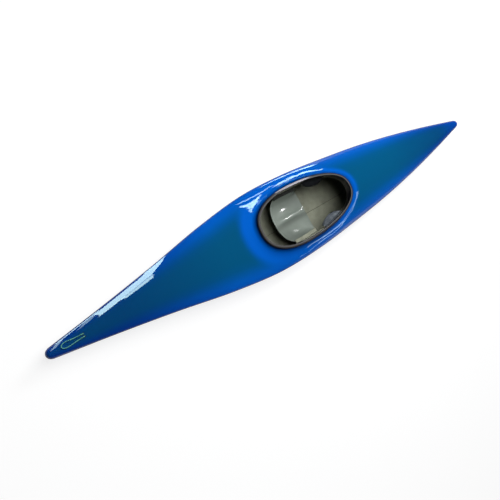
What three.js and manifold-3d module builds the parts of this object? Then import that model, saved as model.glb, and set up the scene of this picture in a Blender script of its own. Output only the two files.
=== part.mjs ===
import * as THREE from 'three';
import { mergeVertices } from 'three/addons/utils/BufferGeometryUtils.js';
import Module from 'manifold-3d';

const wasm = await Module();
wasm.setup();

// A decked slalom kayak of moulded laminate, in millimetres: +X to the bow, +Y to port, +Z up.
// The origin is on the ground under the middle of the boat.

// Overall form
const boatLength = 4000;
const boatBeam = 608;
const seamHeight = 170;
const sternSeamDrop = 42;
const bowSeamDrop = 2;
const sternRocker = 96;
const bowRocker = 126;
const flatKeelLength = 800;
const deckCrown = 118;
const tipRadius = 27;
const shellThickness = 4;
const tipFill = 45;
const tipFillTaper = 300;

// Half beam and crown at eleven even stations from stern to bow, as shares of the greatest
const beamShares = [0.092, 0.304, 0.54, 0.804, 0.982, 0.987, 0.895, 0.768, 0.585, 0.354, 0.092];
const crownShares = [0.2, 0.27, 0.36, 0.47, 0.62, 0.82, 0.96, 0.78, 0.6, 0.42, 0.24];
const flatBottomShare = 0.38;
const bilgePowers = [2.6, 2.2];
const deckPowers = [2, 1.8];

// Places of the mesh points round a section, as shares of a quarter turn from the seam
const hullTurnShares = [0, 0.05, 0.15, 0.32, 0.55, 0.78, 1];
const deckTurnShares = [0, 0.05, 0.15, 0.35, 0.65, 1];

// Places of the sections in the round tip, as shares of its radius, and how many lie beyond it
const tipStepShares = [0, 0.1, 0.4, 1];
const sternSteps = 7;
const bowSteps = 7;

// Cockpit rim
const rimLength = 872;
const rimWidth = 416;
const rimCentre = -30;
const rimTaperShare = 0.117;
const rimPower = 2.35;
const rimRearHeight = 271;
const rimFrontHeight = 312;
const rimSteps = 40;
const lipWidth = 17;
const lipThickness = 4;
const lipRound = 1.2;
const riserHeight = 25;
const riserWall = 4;
const skirtDepth = 56;
const skirtThickness = 4;
const flareReach = 90;
const flarePower = 2.2;

// Fits
const fitGap = 0.3;
const cutOverrun = 5;

// Seams
const seamTapeThickness = 1.2;
const seamTapeTipClear = 240;
const seamBandThickness = 1;

// Inside stiffening
const floorLinerThickness = 2;
const floorLinerFront = 640;
const floorLinerSplit = 2;
const floorLinerSplitOffset = 40;
const floorLinerTurns = 3;
const pillarThickness = 66;
const rearPillarClear = 114;
const footrestRunOut = 102;
const pillarEndClear = 300;
const endBlockLength = 115;

// Seat
const seatRear = -245;
const seatFront = 104;
const seatRearSweep = 75;
const seatThickness = 4;
const seatFloorHeight = 40;
const seatRearRise = 92;
const seatFrontRise = 14;
const seatSideFrontFall = 110;
const seatFrontFlare = 24;
const seatFlareShare = 0.8;
const seatSideLevelShare = 0.5;
const seatDishDepth = 13;
const seatRidgeHeight = 16;
const seatRidgeShare = 0.15;
const seatRows = 10;
const seatColumns = 18;
const seatBlockRows = [3, 8];
const seatBlockColumns = [5, 13];

// Hip plates that hang the seat from the rim
const hipPlateThickness = 3.5;
const hipPlateEndMargin = 40;
const hipPlateTopDrop = 22;
const hipPlateDepth = 118;
const hipPlateSlant = 26;
const hipShelfDrop = 84;
const hipShelfWidth = 25;
const hipShelfFall = 10;
const hipShelfSeatShare = 0.32;
const hipChords = [9, 13];
const hipBoltChords = [[9, 0.9, 'front'], [11, 0.45, 'rear']];
const hipBoltDrop = 43;
const hipBoltRadius = 3;
const hipHeadRadius = 6;
const hipHeadHeight = 3.2;
const hipBoltTail = 2.5;
const hipNutWidth = 10;
const hipNutThickness = 4;

// Thigh hooks under the front of the rim
const hookRear = 48;
const hookFront = 240;
const hookReach = 44;
const hookDroop = 20;
const hookThickness = 4;
const hookFlangeThickness = 3;
const hookFlangeTop = 26;
const hookFlangeBottom = 62;
const hookChords = [5, 10];
const hookRows = 10;
const hookColumns = 5;

// Footrest
const footrestPlace = 820;
const footrestTravel = 100;
const railEndMargin = 35;
const railSeamClear = 53.1;
const railDepth = 14;
const railHeight = 30;
const railWall = 2.5;
const railSlot = 11;
const railCentreHeight = 104;
const railBlockHeight = 36;
const boardSideClear = 38;
const boardBottom = 45;
const boardTop = 195;
const boardThickness = 8;
const boardCorner = 28;
const earHeight = 30;
const earLength = 46;
const earThickness = 6;
const padThickness = 15;
const padMargin = 8;
const studRadius = 3;
const studPlaceShare = 0.54;
const slideHeadLength = 30;
const slideHeadThickness = 6;
const knobRadius = 16;
const knobDepth = 16;
const knobLobes = 6;
const knobLobeShare = 0.12;
const knobHubGap = 1.6;

// Stern grab loop
const cordDiameter = 5.5;
const cordSides = 8;
const loopHoleTipClear = 228;
const loopHoleSpacing = 17;
const sleeveBore = 6.4;
const sleeveDiameter = 10.4;
const sleeveFlangeDiameter = 14;
const sleeveFlangeHeight = 2;
const sleeveDepth = 12;
const knotRadius = 7;
const cordSteps = 34;

// The loop's route over the stern deck, from the port hole round and back to the starboard hole
const loopRoute = [
  [-1772, 8.5, 154.5],
  [-1772, 8.5, 170],
  [-1775.5, 8.8, 180],
  [-1785, 9.6, 183.5],
  [-1796, 10.2, 178],
  [-1810, 11, 172],
  [-1830, 12.5, 169],
  [-1850, 14.5, 167],
  [-1870, 17.5, 164.5],
  [-1888, 17.5, 162.5],
  [-1903, 11.5, 161.5],
  [-1908.5, 2, 161.5],
  [-1904, -8, 161],
  [-1890, -14.5, 161.5],
  [-1870, -15.5, 164],
  [-1850, -13.5, 167],
  [-1830, -11.5, 169.5],
  [-1810, -10, 172],
  [-1796, -9.4, 178],
  [-1785, -9, 183.5],
  [-1775.5, -8.7, 180],
  [-1772, -8.5, 170],
  [-1772, -8.5, 154.5],
];

const halfLength = boatLength / 2;
const halfBeam = boatBeam / 2;
const quarterTurn = Math.PI / 2;
const loopHoleX = loopHoleTipClear - halfLength;

// Materials
function paint(color, roughness, metalness = 0) {
  return new THREE.MeshStandardMaterial({ color, roughness, metalness });
}

const blueGelcoat = () => paint(0x0060b8, 0.12);
const rimGelcoat = () => paint(0x17181c, 0.15);
const wovenLaminate = () => paint(0x7d7a62, 0.6);
const seatLaminate = () => paint(0x66706a, 0.3);
const hookLaminate = () => paint(0x2c2f3c, 0.3);
const whiteFoam = () => paint(0xd8d6cc, 0.9);
const greyFoam = () => paint(0x33363a, 0.9);
const aluminium = () => paint(0xa9adb2, 0.35, 1);
const steel = () => paint(0x9a9ca0, 0.3, 1);
const blackPlastic = () => paint(0x1a1b1e, 0.45);
const boardPlastic = () => paint(0x2a2c30, 0.5);
const mintCord = () => paint(0x86d6bd, 0.7);
const seamBand = () => paint(0x0b2c52, 0.3);

// Curves of the boat
function curveAt(shares, x) {
  const spans = shares.length - 1;
  const place = (x / halfLength + 1) / 2 * spans;
  const index = Math.min(Math.max(Math.floor(place), 0), spans - 1);
  const t = place - index;
  const before = index > 0 ? shares[index - 1] : 2 * shares[0] - shares[1];
  const after = index + 2 <= spans ? shares[index + 2] : 2 * shares[spans] - shares[spans - 1];
  const [a, b] = [shares[index], shares[index + 1]];
  const bend = (2 * before - 5 * a + 4 * b - after) * t + (3 * a - before - 3 * b + after) * t * t;
  return (2 * a + (b - before) * t + bend * t) / 2;
}

function tipRounding(x, inset) {
  const endInset = inset > 0 ? tipFill + inset - shellThickness : 0;
  const fromTip = Math.max(halfLength - endInset - Math.abs(x), 0);
  const t = Math.min(fromTip / tipRadius, 1);
  return Math.sqrt(t * (2 - t));
}

function seamZ(x) {
  const drop = x < 0 ? sternSeamDrop : bowSeamDrop;
  return seamHeight - drop * (x / halfLength) ** 2;
}

function keelZ(x) {
  const rocker = x < 0 ? sternRocker : bowRocker;
  const flatEnd = flatKeelLength / 2;
  return rocker * (Math.max(Math.abs(x) - flatEnd, 0) / (halfLength - flatEnd)) ** 2;
}

function beamAt(x, inset) {
  return Math.max(halfBeam * curveAt(beamShares, x) - inset, 0) * tipRounding(x, inset);
}

function crownAt(x, inset) {
  return (deckCrown * curveAt(crownShares, x) - inset) * tipRounding(x, inset);
}

function hullPoint(x, turn, inset) {
  const width = beamAt(x, inset);
  const depth = (seamZ(x) - keelZ(x) - inset) * tipRounding(x, inset);
  const flat = flatBottomShare * (1 - (x / halfLength) ** 2);
  const [across, down] = bilgePowers;
  const y = width * (flat + (1 - flat) * Math.max(Math.cos(turn), 0) ** (2 / across));
  return [x, y, seamZ(x) - depth * Math.sin(turn) ** (2 / down)];
}

// Cockpit rim curve: a long egg, wider at the rear, in a plane that climbs to the bow
function rimPoint(angle, inset) {
  const c = Math.cos(angle);
  const s = Math.sin(angle);
  const along = Math.sign(c) * Math.abs(c) ** (2 / rimPower);
  const across = Math.sign(s) * Math.abs(s) ** (2 / rimPower);
  const x = rimCentre + (rimLength / 2 - inset) * along;
  const y = (rimWidth / 2 - inset) * (1 - rimTaperShare * along) * across;
  return [x, Math.abs(s) < 1e-9 ? 0 : y];
}

function rimAngle(index) {
  return index * 2 * Math.PI / rimSteps;
}

function rimZ(x) {
  const share = (x - rimCentre) / rimLength + 0.5;
  return rimRearHeight + (rimFrontHeight - rimRearHeight) * share;
}

function rimHalfWidth(x, inset) {
  const along = Math.min(Math.max((x - rimCentre) / (rimLength / 2 - inset), -1), 1);
  const across = (1 - Math.abs(along) ** rimPower) ** (1 / rimPower);
  return (rimWidth / 2 - inset) * (1 - rimTaperShare * along) * across;
}

function plainDeckZ(x, y, inset) {
  const width = beamAt(x, inset);
  const share = width > 0 ? Math.min(Math.abs(y) / width, 1) : 0;
  const [across, up] = deckPowers;
  return seamZ(x) + crownAt(x, inset) * (1 - share ** across) ** (1 / up);
}

// The deck flares up to the rim: the lift fades out along the line away from the rim's centre
function flareLift(x, y, inset) {
  const along = (x - rimCentre) / (rimLength / 2 - lipWidth);
  const half = (rimWidth / 2 - lipWidth) * (1 - rimTaperShare * Math.min(Math.max(along, -1), 1));
  const spread = (Math.abs(along) ** rimPower + Math.abs(y / half) ** rimPower) ** (1 / rimPower);
  const scale = 1 / Math.max(spread, 1);
  const edge = [rimCentre + (x - rimCentre) * scale, y * scale];
  const away = Math.hypot(x - edge[0], y - edge[1]);
  const fade = Math.max(1 - away / flareReach, 0) ** flarePower;
  const wanted = rimZ(edge[0]) - riserHeight - inset;
  return (wanted - plainDeckZ(edge[0], edge[1], inset)) * fade;
}

function deckZ(x, y, inset) {
  return plainDeckZ(x, y, inset) + flareLift(x, y, inset);
}

function deckPoint(x, turn, inset, innerY, flared) {
  const width = beamAt(x, inset);
  const [across] = deckPowers;
  const start = innerY > 0 ? Math.acos(Math.min(innerY / width, 1) ** (across / 2)) : quarterTurn;
  const y = turn === quarterTurn ? innerY : width * Math.cos(turn / quarterTurn * start) ** (2 / across);
  return [x, y, flared ? deckZ(x, y, inset) : plainDeckZ(x, y, inset)];
}

// Stations from stern to bow: the round tips, even steps, and the corners of the cockpit opening
const openingRear = rimPoint(Math.PI, lipWidth)[0];
const openingFront = rimPoint(0, lipWidth)[0];
const stations = makeStations();

function makeStations() {
  const places = [];
  const tipSteps = tipStepShares.map((share) => share * tipRadius);
  const tipEnd = halfLength - tipRadius;
  tipSteps.forEach((step) => places.push(-halfLength + step));
  for (let i = 1; i < sternSteps; i += 1) {
    places.push(-tipEnd + (openingRear + tipEnd) * i / sternSteps);
  }
  for (let i = rimSteps / 2; i >= 0; i -= 1) {
    places.push(rimPoint(rimAngle(i), lipWidth)[0]);
  }
  for (let i = 1; i < bowSteps; i += 1) {
    places.push(openingFront + (tipEnd - openingFront) * i / bowSteps);
  }
  tipSteps.reverse().forEach((step) => places.push(halfLength - step));
  return places;
}

// Inside skins end short of the tips, which are filled solid
function squeezed(x, inset) {
  if (inset <= 0) {
    return x;
  }
  const fixed = halfLength - tipFillTaper;
  const reach = halfLength - tipFill - inset + shellThickness - fixed;
  const beyond = Math.abs(x) - fixed;
  return beyond > 0 ? Math.sign(x) * (fixed + beyond * reach / (halfLength - fixed)) : x;
}

// The half breadth of the cockpit opening at a station, from the same egg
function openingHalfWidth(station) {
  const index = stations.indexOf(station) - tipStepShares.length - sternSteps + 1;
  const inside = index > 0 && index < rimSteps / 2;
  return inside ? rimPoint(rimAngle(rimSteps / 2 - index), lipWidth)[1] : 0;
}

// Mesh building
function meshOf(triangles) {
  const geometry = new THREE.BufferGeometry();
  geometry.setAttribute('position', new THREE.Float32BufferAttribute(triangles.flat(2), 3));
  return geometry;
}

// The cut from a to c is the same either way round, so that skins inside one another stay apart
function addQuad(triangles, [a, b, c, d], flip) {
  [[a, b, c], [a, c, d]].forEach((corners) => {
    const [p, q, r] = corners.map((corner) => new THREE.Vector3(...corner));
    const area = q.clone().sub(p).cross(r.clone().sub(p)).length();
    if (area > Number.EPSILON * boatLength) {
      triangles.push(flip ? corners.reverse() : corners);
    }
  });
}

function addGrid(triangles, rows, flip) {
  for (let i = 0; i + 1 < rows.length; i += 1) {
    for (let j = 0; j + 1 < rows[i].length; j += 1) {
      addQuad(triangles, [rows[i][j], rows[i + 1][j], rows[i + 1][j + 1], rows[i][j + 1]], flip);
    }
  }
}

function mirrored(triangles) {
  return triangles.map((corners) => corners.map(([x, y, z]) => [x, -y, z]).reverse());
}

function solidOf(geometry) {
  const bare = geometry.index ? geometry.toNonIndexed() : geometry.clone();
  Object.keys(bare.attributes).filter((name) => name !== 'position').forEach((name) => {
    bare.deleteAttribute(name);
  });
  const merged = mergeVertices(bare, 1e-4);
  const mesh = new wasm.Mesh({
    numProp: 3,
    vertProperties: new Float32Array(merged.attributes.position.array),
    triVerts: new Uint32Array(merged.index.array),
  });
  return new wasm.Manifold(mesh);
}

function geometryOf(solid) {
  const mesh = solid.getMesh();
  const geometry = new THREE.BufferGeometry();
  const positions = [];
  for (let i = 0; i < mesh.vertProperties.length; i += mesh.numProp) {
    positions.push(...mesh.vertProperties.slice(i, i + 3));
  }
  geometry.setAttribute('position', new THREE.Float32BufferAttribute(positions, 3));
  geometry.setIndex([...mesh.triVerts]);
  geometry.computeVertexNormals();
  return geometry;
}

function box(low, high) {
  const size = high.map((value, i) => value - low[i]);
  const geometry = new THREE.BoxGeometry(...size);
  return geometry.translate(...low.map((value, i) => value + size[i] / 2));
}

// A closed ring of sections: every section is a closed loop of points
function loopSolid(sections, closed) {
  const triangles = [];
  const rows = sections.map((section) => [...section, section[0]]);
  addGrid(triangles, closed ? [...rows, rows[0]] : rows, true);
  if (!closed) {
    addCap(triangles, sections[0], true);
    addCap(triangles, sections[sections.length - 1], false);
  }
  return meshOf(triangles);
}

function addCap(triangles, section, flip) {
  const outline = section.map(([, y, z]) => new THREE.Vector2(y, z));
  const turning = Math.sign(THREE.ShapeUtils.area(outline));
  THREE.ShapeUtils.triangulateShape(outline, []).forEach((indices) => {
    const corners = indices.map((index) => section[index]);
    const winding = Math.sign(THREE.ShapeUtils.area(indices.map((index) => outline[index])));
    triangles.push((winding === turning) === flip ? corners.reverse() : corners);
  });
}

// A sheet between two grids of points, closed along its four edges, with its face towards rows x columns
function sheetSolid(top, bottom) {
  const triangles = [];
  const last = top.length - 1;
  const end = top[0].length - 1;
  addGrid(triangles, top, false);
  addGrid(triangles, bottom, true);
  addGrid(triangles, [top[0], bottom[0]], true);
  addGrid(triangles, [top[last], bottom[last]], false);
  addGrid(triangles, [top.map((row) => row[0]), bottom.map((row) => row[0])], false);
  addGrid(triangles, [top.map((row) => row[end]), bottom.map((row) => row[end])], true);
  return meshOf(triangles);
}

// Grid points moved along the grid's own normals
function offsetGrid(rows, distance) {
  const clampRow = (i) => rows[Math.min(Math.max(i, 0), rows.length - 1)];
  const clampAt = (row, j) => new THREE.Vector3(...row[Math.min(Math.max(j, 0), row.length - 1)]);
  return rows.map((row, i) => row.map((point, j) => {
    const along = clampAt(clampRow(i + 1), j).sub(clampAt(clampRow(i - 1), j));
    const across = clampAt(row, j + 1).sub(clampAt(row, j - 1));
    const normal = along.cross(across).normalize();
    return new THREE.Vector3(...point).addScaledVector(normal, distance).toArray();
  }));
}

const boat = new THREE.Group();

function addPart(name, geometry, material, position) {
  const mesh = new THREE.Mesh(geometry, material);
  mesh.name = name;
  if (position) {
    mesh.position.set(...position);
  }
  boat.add(mesh);
  return mesh;
}

const sides = [['port', 1], ['starboard', -1]];

function sided(geometry, sign) {
  if (sign > 0) {
    return geometry;
  }
  const flipped = geometry.index ? geometry.toNonIndexed() : geometry.clone();
  const position = flipped.attributes.position;
  for (let i = 0; i < position.count; i += 3) {
    const corners = [0, 2, 1].map((k) => [position.getX(i + k), position.getY(i + k), position.getZ(i + k)]);
    corners.forEach(([x, y, z], k) => position.setXYZ(i + k, x, -y, z));
  }
  return flipped;
}

// Hull: a trough with a flat rim at the seam
function hullRow(station, inset) {
  const x = squeezed(station, inset);
  const row = hullTurnShares.map((share) => hullPoint(x, share * quarterTurn, inset));
  const [, , keel] = row[row.length - 1];
  return [...row, [x, 0, keel]];
}

function deckRow(station, inset, flared) {
  const x = squeezed(station, inset);
  const inner = flared ? openingHalfWidth(station) : 0;
  return deckTurnShares.map((share) => deckPoint(x, share * quarterTurn, inset, inner, flared));
}

function lifted(rows, rise) {
  return rows.map((row) => row.map(([x, y, z]) => [x, y, z + rise]));
}

function hullShell() {
  const outer = stations.map((station) => hullRow(station, 0));
  const inner = stations.map((station) => hullRow(station, shellThickness));
  const rim = [outer.map((row) => row[0]), inner.map((row) => row[0])];
  const half = [];
  addGrid(half, outer, false);
  addGrid(half, inner, true);
  addGrid(half, rim, false);
  return meshOf([...half, ...mirrored(half)]);
}

function deckShell() {
  const outer = lifted(stations.map((station) => deckRow(station, 0, true)), fitGap);
  const inner = lifted(stations.map((station) => deckRow(station, shellThickness, true)), fitGap);
  const last = deckTurnShares.length - 1;
  const open = (row) => row[last][1] > 0;
  const half = [];
  addGrid(half, outer, true);
  addGrid(half, inner, false);
  addGrid(half, [outer.map((row) => row[0]), inner.map((row) => row[0])], true);
  const wall = outer.map((row, i) => [row[last], inner[i][last]]);
  wall.forEach((pair, i) => {
    if (i + 1 < wall.length && (open(outer[i]) || open(outer[i + 1]))) {
      addGrid(half, [pair, wall[i + 1]], true);
    }
  });
  return meshOf([...half, ...mirrored(half)]);
}

// The space inside hull and deck, which the inside pieces are cut to
function insideSpace(clearance) {
  const inset = shellThickness + clearance;
  const hull = stations.map((station) => hullRow(station, inset));
  const deck = stations.map((station) => deckRow(station, inset, false));
  const half = [];
  addGrid(half, hull, false);
  addGrid(half, deck, true);
  return solidOf(meshOf([...half, ...mirrored(half)]));
}

const inside = insideSpace(fitGap);

function fitted(blank) {
  return geometryOf(inside.intersect(solidOf(blank)));
}

// Strips over the seam: hull and deck points nearest it, between two insets
function seamStrip(points, outerInset, innerInset, end) {
  const covered = stations.filter((station) => Math.abs(station) <= end);
  const line = (station, inset) => {
    const hull = hullRow(station, inset).slice(0, points).reverse();
    const deck = deckRow(station, inset, true).slice(1, points);
    return [...hull, ...deck];
  };
  return loopSolid(covered.map((station) => {
    return [...line(station, outerInset), ...line(station, innerInset).reverse()];
  }), false);
}

function addShells() {
  const deck = solidOf(deckShell());
  const holes = sides.map(([, sign]) => {
    const hole = new THREE.CylinderGeometry(
      sleeveDiameter / 2 + fitGap, sleeveDiameter / 2 + fitGap, riserHeight * 2, 16);
    return solidOf(hole.rotateX(quarterTurn).translate(
      loopHoleX, sign * loopHoleSpacing / 2, deckZ(loopHoleX, 0, 0)));
  });
  addPart('hull_shell', hullShell(), blueGelcoat());
  addPart('deck_shell', geometryOf(holes.reduce((solid, hole) => solid.subtract(hole), deck)), blueGelcoat());
  sides.forEach(([side, sign]) => {
    const tape = seamStrip(
      3, shellThickness + fitGap, shellThickness + fitGap + seamTapeThickness, halfLength - seamTapeTipClear);
    const bandEnd = halfLength - tipRadius + fitGap;
    const band = seamStrip(2, -fitGap - seamBandThickness, -fitGap, bandEnd);
    addPart(`inner_seam_tape_${side}`, sided(tape, sign), wovenLaminate());
    addPart(`outer_seam_band_${side}`, sided(band, sign), seamBand());
  });
}

// Cockpit rim: lip, riser and skirt in one ring
function rimRing(profile, from, to) {
  const count = to - from;
  const sections = [];
  for (let i = 0; i < (count === rimSteps ? count : count + 1); i += 1) {
    sections.push(profile.map(([inset, rise]) => {
      const [x, y] = rimPoint(rimAngle(from + i), inset);
      return [x, y, rimZ(x) + rise];
    }));
  }
  return loopSolid(sections, count === rimSteps);
}

function addRim() {
  const lipUnder = -lipThickness;
  const riserFace = lipWidth - riserWall;
  const skirtFace = lipWidth + fitGap;
  const inner = skirtFace + skirtThickness;
  const profile = [
    [inner, -skirtDepth],
    [inner, -lipRound * 2],
    [inner - lipRound * 2, 0],
    [lipRound * 2, 0],
    [0, -lipRound],
    [0, lipUnder + lipRound],
    [lipRound, lipUnder],
    [riserFace, lipUnder],
    [riserFace, fitGap * 2 - riserHeight],
    [skirtFace, fitGap * 2 - riserHeight],
    [skirtFace, -skirtDepth],
  ];
  let ring = solidOf(rimRing(profile, 0, rimSteps));
  eachHipBolt(({ frame }) => {
    ring = ring.subtract(solidOf(placed(boltHole(), frame)));
  });
  addPart('cockpit_rim', geometryOf(ring), rimGelcoat());
}

// A frame on one straight run of the rim ring: the place, and the direction in towards the cockpit
function rimFrame(chord, share, inset, drop, sign) {
  const a = rimPoint(rimAngle(chord), inset);
  const b = rimPoint(rimAngle(chord + 1), inset);
  const x = a[0] + (b[0] - a[0]) * share;
  const y = a[1] + (b[1] - a[1]) * share;
  const inward = new THREE.Vector3(b[1] - a[1], a[0] - b[0], 0).normalize().negate();
  const place = new THREE.Vector3(x, sign * y, rimZ(x) - drop);
  return { place, inward: inward.setY(inward.y * sign) };
}

function placed(geometry, { place, inward }) {
  const turn = new THREE.Quaternion().setFromUnitVectors(new THREE.Vector3(0, 1, 0), inward);
  return geometry.applyQuaternion(turn).translate(place.x, place.y, place.z);
}

const plateOuterInset = lipWidth + fitGap + skirtThickness + fitGap;
const plateInnerInset = plateOuterInset + hipPlateThickness;
const hipShelfTop = hipPlateTopDrop + hipShelfDrop;

function eachHipBolt(visit) {
  sides.forEach(([side, sign]) => {
    hipBoltChords.forEach(([chord, share, end]) => {
      visit({ side, end, frame: rimFrame(chord, share, plateInnerInset, hipBoltDrop, sign) });
    });
  });
}

function boltHole() {
  const reach = hipPlateThickness + skirtThickness + cutOverrun * 2;
  return new THREE.CylinderGeometry(hipBoltRadius + fitGap, hipBoltRadius + fitGap, reach, 12)
    .translate(0, -hipPlateThickness / 2 - skirtThickness / 2, 0);
}

// Bolt along +Y, with its head's underside a gap above the plate's inner face at zero
function hipBolt() {
  const grip = hipPlateThickness + skirtThickness + fitGap * 3;
  const length = grip + hipNutThickness + hipBoltTail;
  const profile = [
    [0, -length],
    [hipBoltRadius, -length],
    [hipBoltRadius, fitGap],
    [hipHeadRadius, fitGap],
    [hipHeadRadius, fitGap + hipHeadHeight / 3],
    [hipHeadRadius * 0.72, fitGap + hipHeadHeight * 0.85],
    [0, fitGap + hipHeadHeight],
  ];
  return new THREE.LatheGeometry(profile.map(([r, y]) => new THREE.Vector2(r, y)), 12);
}

function hipNut() {
  const top = -hipPlateThickness - skirtThickness - fitGap * 2;
  const body = new THREE.CylinderGeometry(
    hipNutWidth / Math.sqrt(3), hipNutWidth / Math.sqrt(3), hipNutThickness, 6);
  const bore = new THREE.CylinderGeometry(
    hipBoltRadius + fitGap, hipBoltRadius + fitGap, hipNutThickness + cutOverrun, 12);
  const nut = solidOf(body).subtract(solidOf(bore));
  return geometryOf(nut).translate(0, top - hipNutThickness / 2, 0);
}

function addHips() {
  sides.forEach(([side, sign]) => {
    const strip = rimRing([
      [plateInnerInset, -hipPlateTopDrop - hipPlateDepth],
      [plateInnerInset, -hipPlateTopDrop],
      [plateOuterInset, -hipPlateTopDrop],
      [plateOuterInset, -hipPlateTopDrop - hipPlateDepth],
    ], ...hipChords);
    const shelf = rimRing([
      [plateInnerInset + hipShelfWidth, -hipShelfTop - hipShelfFall - hipPlateThickness],
      [plateInnerInset + hipShelfWidth, -hipShelfTop - hipShelfFall],
      [plateOuterInset, -hipShelfTop],
      [plateOuterInset, -hipShelfTop - hipPlateThickness],
    ], ...hipChords);
    const boltPlaces = hipBoltChords.map(([chord, share]) => {
      return rimFrame(chord, share, plateInnerInset, hipBoltDrop, 1).place.x;
    });
    const hipPlateRear = Math.min(...boltPlaces) - hipPlateEndMargin;
    const hipPlateFront = Math.max(...boltPlaces) + hipPlateEndMargin;
    const outline = new THREE.Shape([
      new THREE.Vector2(hipPlateRear, rimFrontHeight),
      new THREE.Vector2(hipPlateRear, rimZ(hipPlateRear) - hipPlateTopDrop - hipPlateSlant),
      new THREE.Vector2(hipPlateRear + hipPlateSlant, 0),
      new THREE.Vector2(hipPlateFront - hipPlateSlant, 0),
      new THREE.Vector2(hipPlateFront, rimZ(hipPlateFront) - hipPlateTopDrop - hipPlateSlant),
      new THREE.Vector2(hipPlateFront, rimFrontHeight),
    ]);
    const cutter = new THREE.ExtrudeGeometry(outline, { depth: boatBeam / 2, bevelEnabled: false });
    cutter.rotateX(quarterTurn).translate(0, boatBeam / 2, 0);
    let plate = solidOf(strip).add(solidOf(shelf)).intersect(solidOf(cutter));
    hipBoltChords.forEach(([chord, share]) => {
      const frame = rimFrame(chord, share, plateInnerInset, hipBoltDrop, 1);
      plate = plate.subtract(solidOf(placed(boltHole(), frame)));
    });
    addPart(`hip_plate_${side}`, sided(geometryOf(plate), sign), wovenLaminate());
  });
  eachHipBolt(({ side, end, frame }) => {
    addPart(`hip_bolt_${side}_${end}`, placed(hipBolt(), frame), steel());
    addPart(`hip_nut_${side}_${end}`, placed(hipNut(), frame), steel());
  });
}

// Thigh hooks: a flange on the skirt's inner face and a tongue that reaches in and droops
function hookTongue() {
  const rows = [];
  const root = lipWidth + fitGap + skirtThickness + fitGap + hookFlangeThickness * 0.8;
  for (let i = 0; i <= hookRows; i += 1) {
    const u = i / hookRows;
    const x = hookRear + hookThickness + (hookFront - hookRear - hookThickness * 2) * u;
    const reach = hookThickness * 2 + (hookReach - hookThickness * 2) * Math.sin(Math.PI * u) ** 0.7;
    const row = [];
    for (let j = 0; j <= hookColumns; j += 1) {
      const v = j / hookColumns;
      const z = rimZ(x) - hookFlangeBottom + hookThickness * 2 - hookDroop * v * v;
      row.push([x, rimHalfWidth(x, root) - reach * v, z]);
    }
    rows.push(row);
  }
  return sheetSolid(offsetGrid(rows, hookThickness), rows);
}

function addThighHooks() {
  const outer = lipWidth + fitGap + skirtThickness + fitGap;
  const strip = rimRing([
    [outer + hookFlangeThickness, -hookFlangeBottom],
    [outer + hookFlangeThickness, -hookFlangeTop],
    [outer, -hookFlangeTop],
    [outer, -hookFlangeBottom],
  ], ...hookChords);
  const span = box([hookRear, 0, 0], [hookFront, boatBeam, rimFrontHeight]);
  const flange = solidOf(strip).intersect(solidOf(span));
  const hook = geometryOf(flange.add(solidOf(hookTongue())));
  sides.forEach(([side, sign]) => {
    addPart(`thigh_hook_${side}`, sided(hook.clone(), sign), hookLaminate());
  });
}

// Floor liners: woven panels on the hull's inner face, with an open joint a little to starboard of the keel
function addFloorLiners() {
  const covered = stations.filter((station) => station >= openingRear && station <= floorLinerFront);
  const face = (station, inset, sign) => {
    const row = hullRow(station, inset).slice(-floorLinerTurns - 1);
    const [x, , keel] = row[row.length - 1];
    row[row.length - 1] = [x, floorLinerSplit / 2 - sign * floorLinerSplitOffset, keel];
    return row;
  };
  sides.forEach(([side, sign]) => {
    const top = covered.map((station) => {
      return face(station, shellThickness + fitGap + floorLinerThickness, sign);
    });
    const bottom = covered.map((station) => face(station, shellThickness + fitGap, sign));
    const liner = solidOf(sheetSolid(bottom, top));
    addPart(`floor_liner_${side}`, sided(geometryOf(liner), sign), wovenLaminate());
  });
}

function addFoam() {
  const half = pillarThickness / 2;
  const pillarEnd = halfLength - pillarEndClear;
  const rear = box([-pillarEnd, -half, 0], [openingRear - rearPillarClear, half, boatBeam]);
  const frontPillarStart = footrestPlace + boardThickness + footrestTravel + footrestRunOut;
  const front = box([frontPillarStart, -half, 0], [pillarEnd, half, boatBeam]);
  addPart('rear_pillar', fitted(rear), whiteFoam());
  addPart('front_pillar', fitted(front), whiteFoam());
  const blockTip = halfLength - tipFill - tipRadius;
  const blockEnd = blockTip - endBlockLength;
  const stern = box([-blockTip, -halfBeam, 0], [-blockEnd, halfBeam, boatBeam]);
  const bow = box([blockEnd, -halfBeam, 0], [blockTip, halfBeam, boatBeam]);
  addPart('stern_end_block', fitted(stern), whiteFoam());
  addPart('bow_end_block', fitted(bow), whiteFoam());
}

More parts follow.
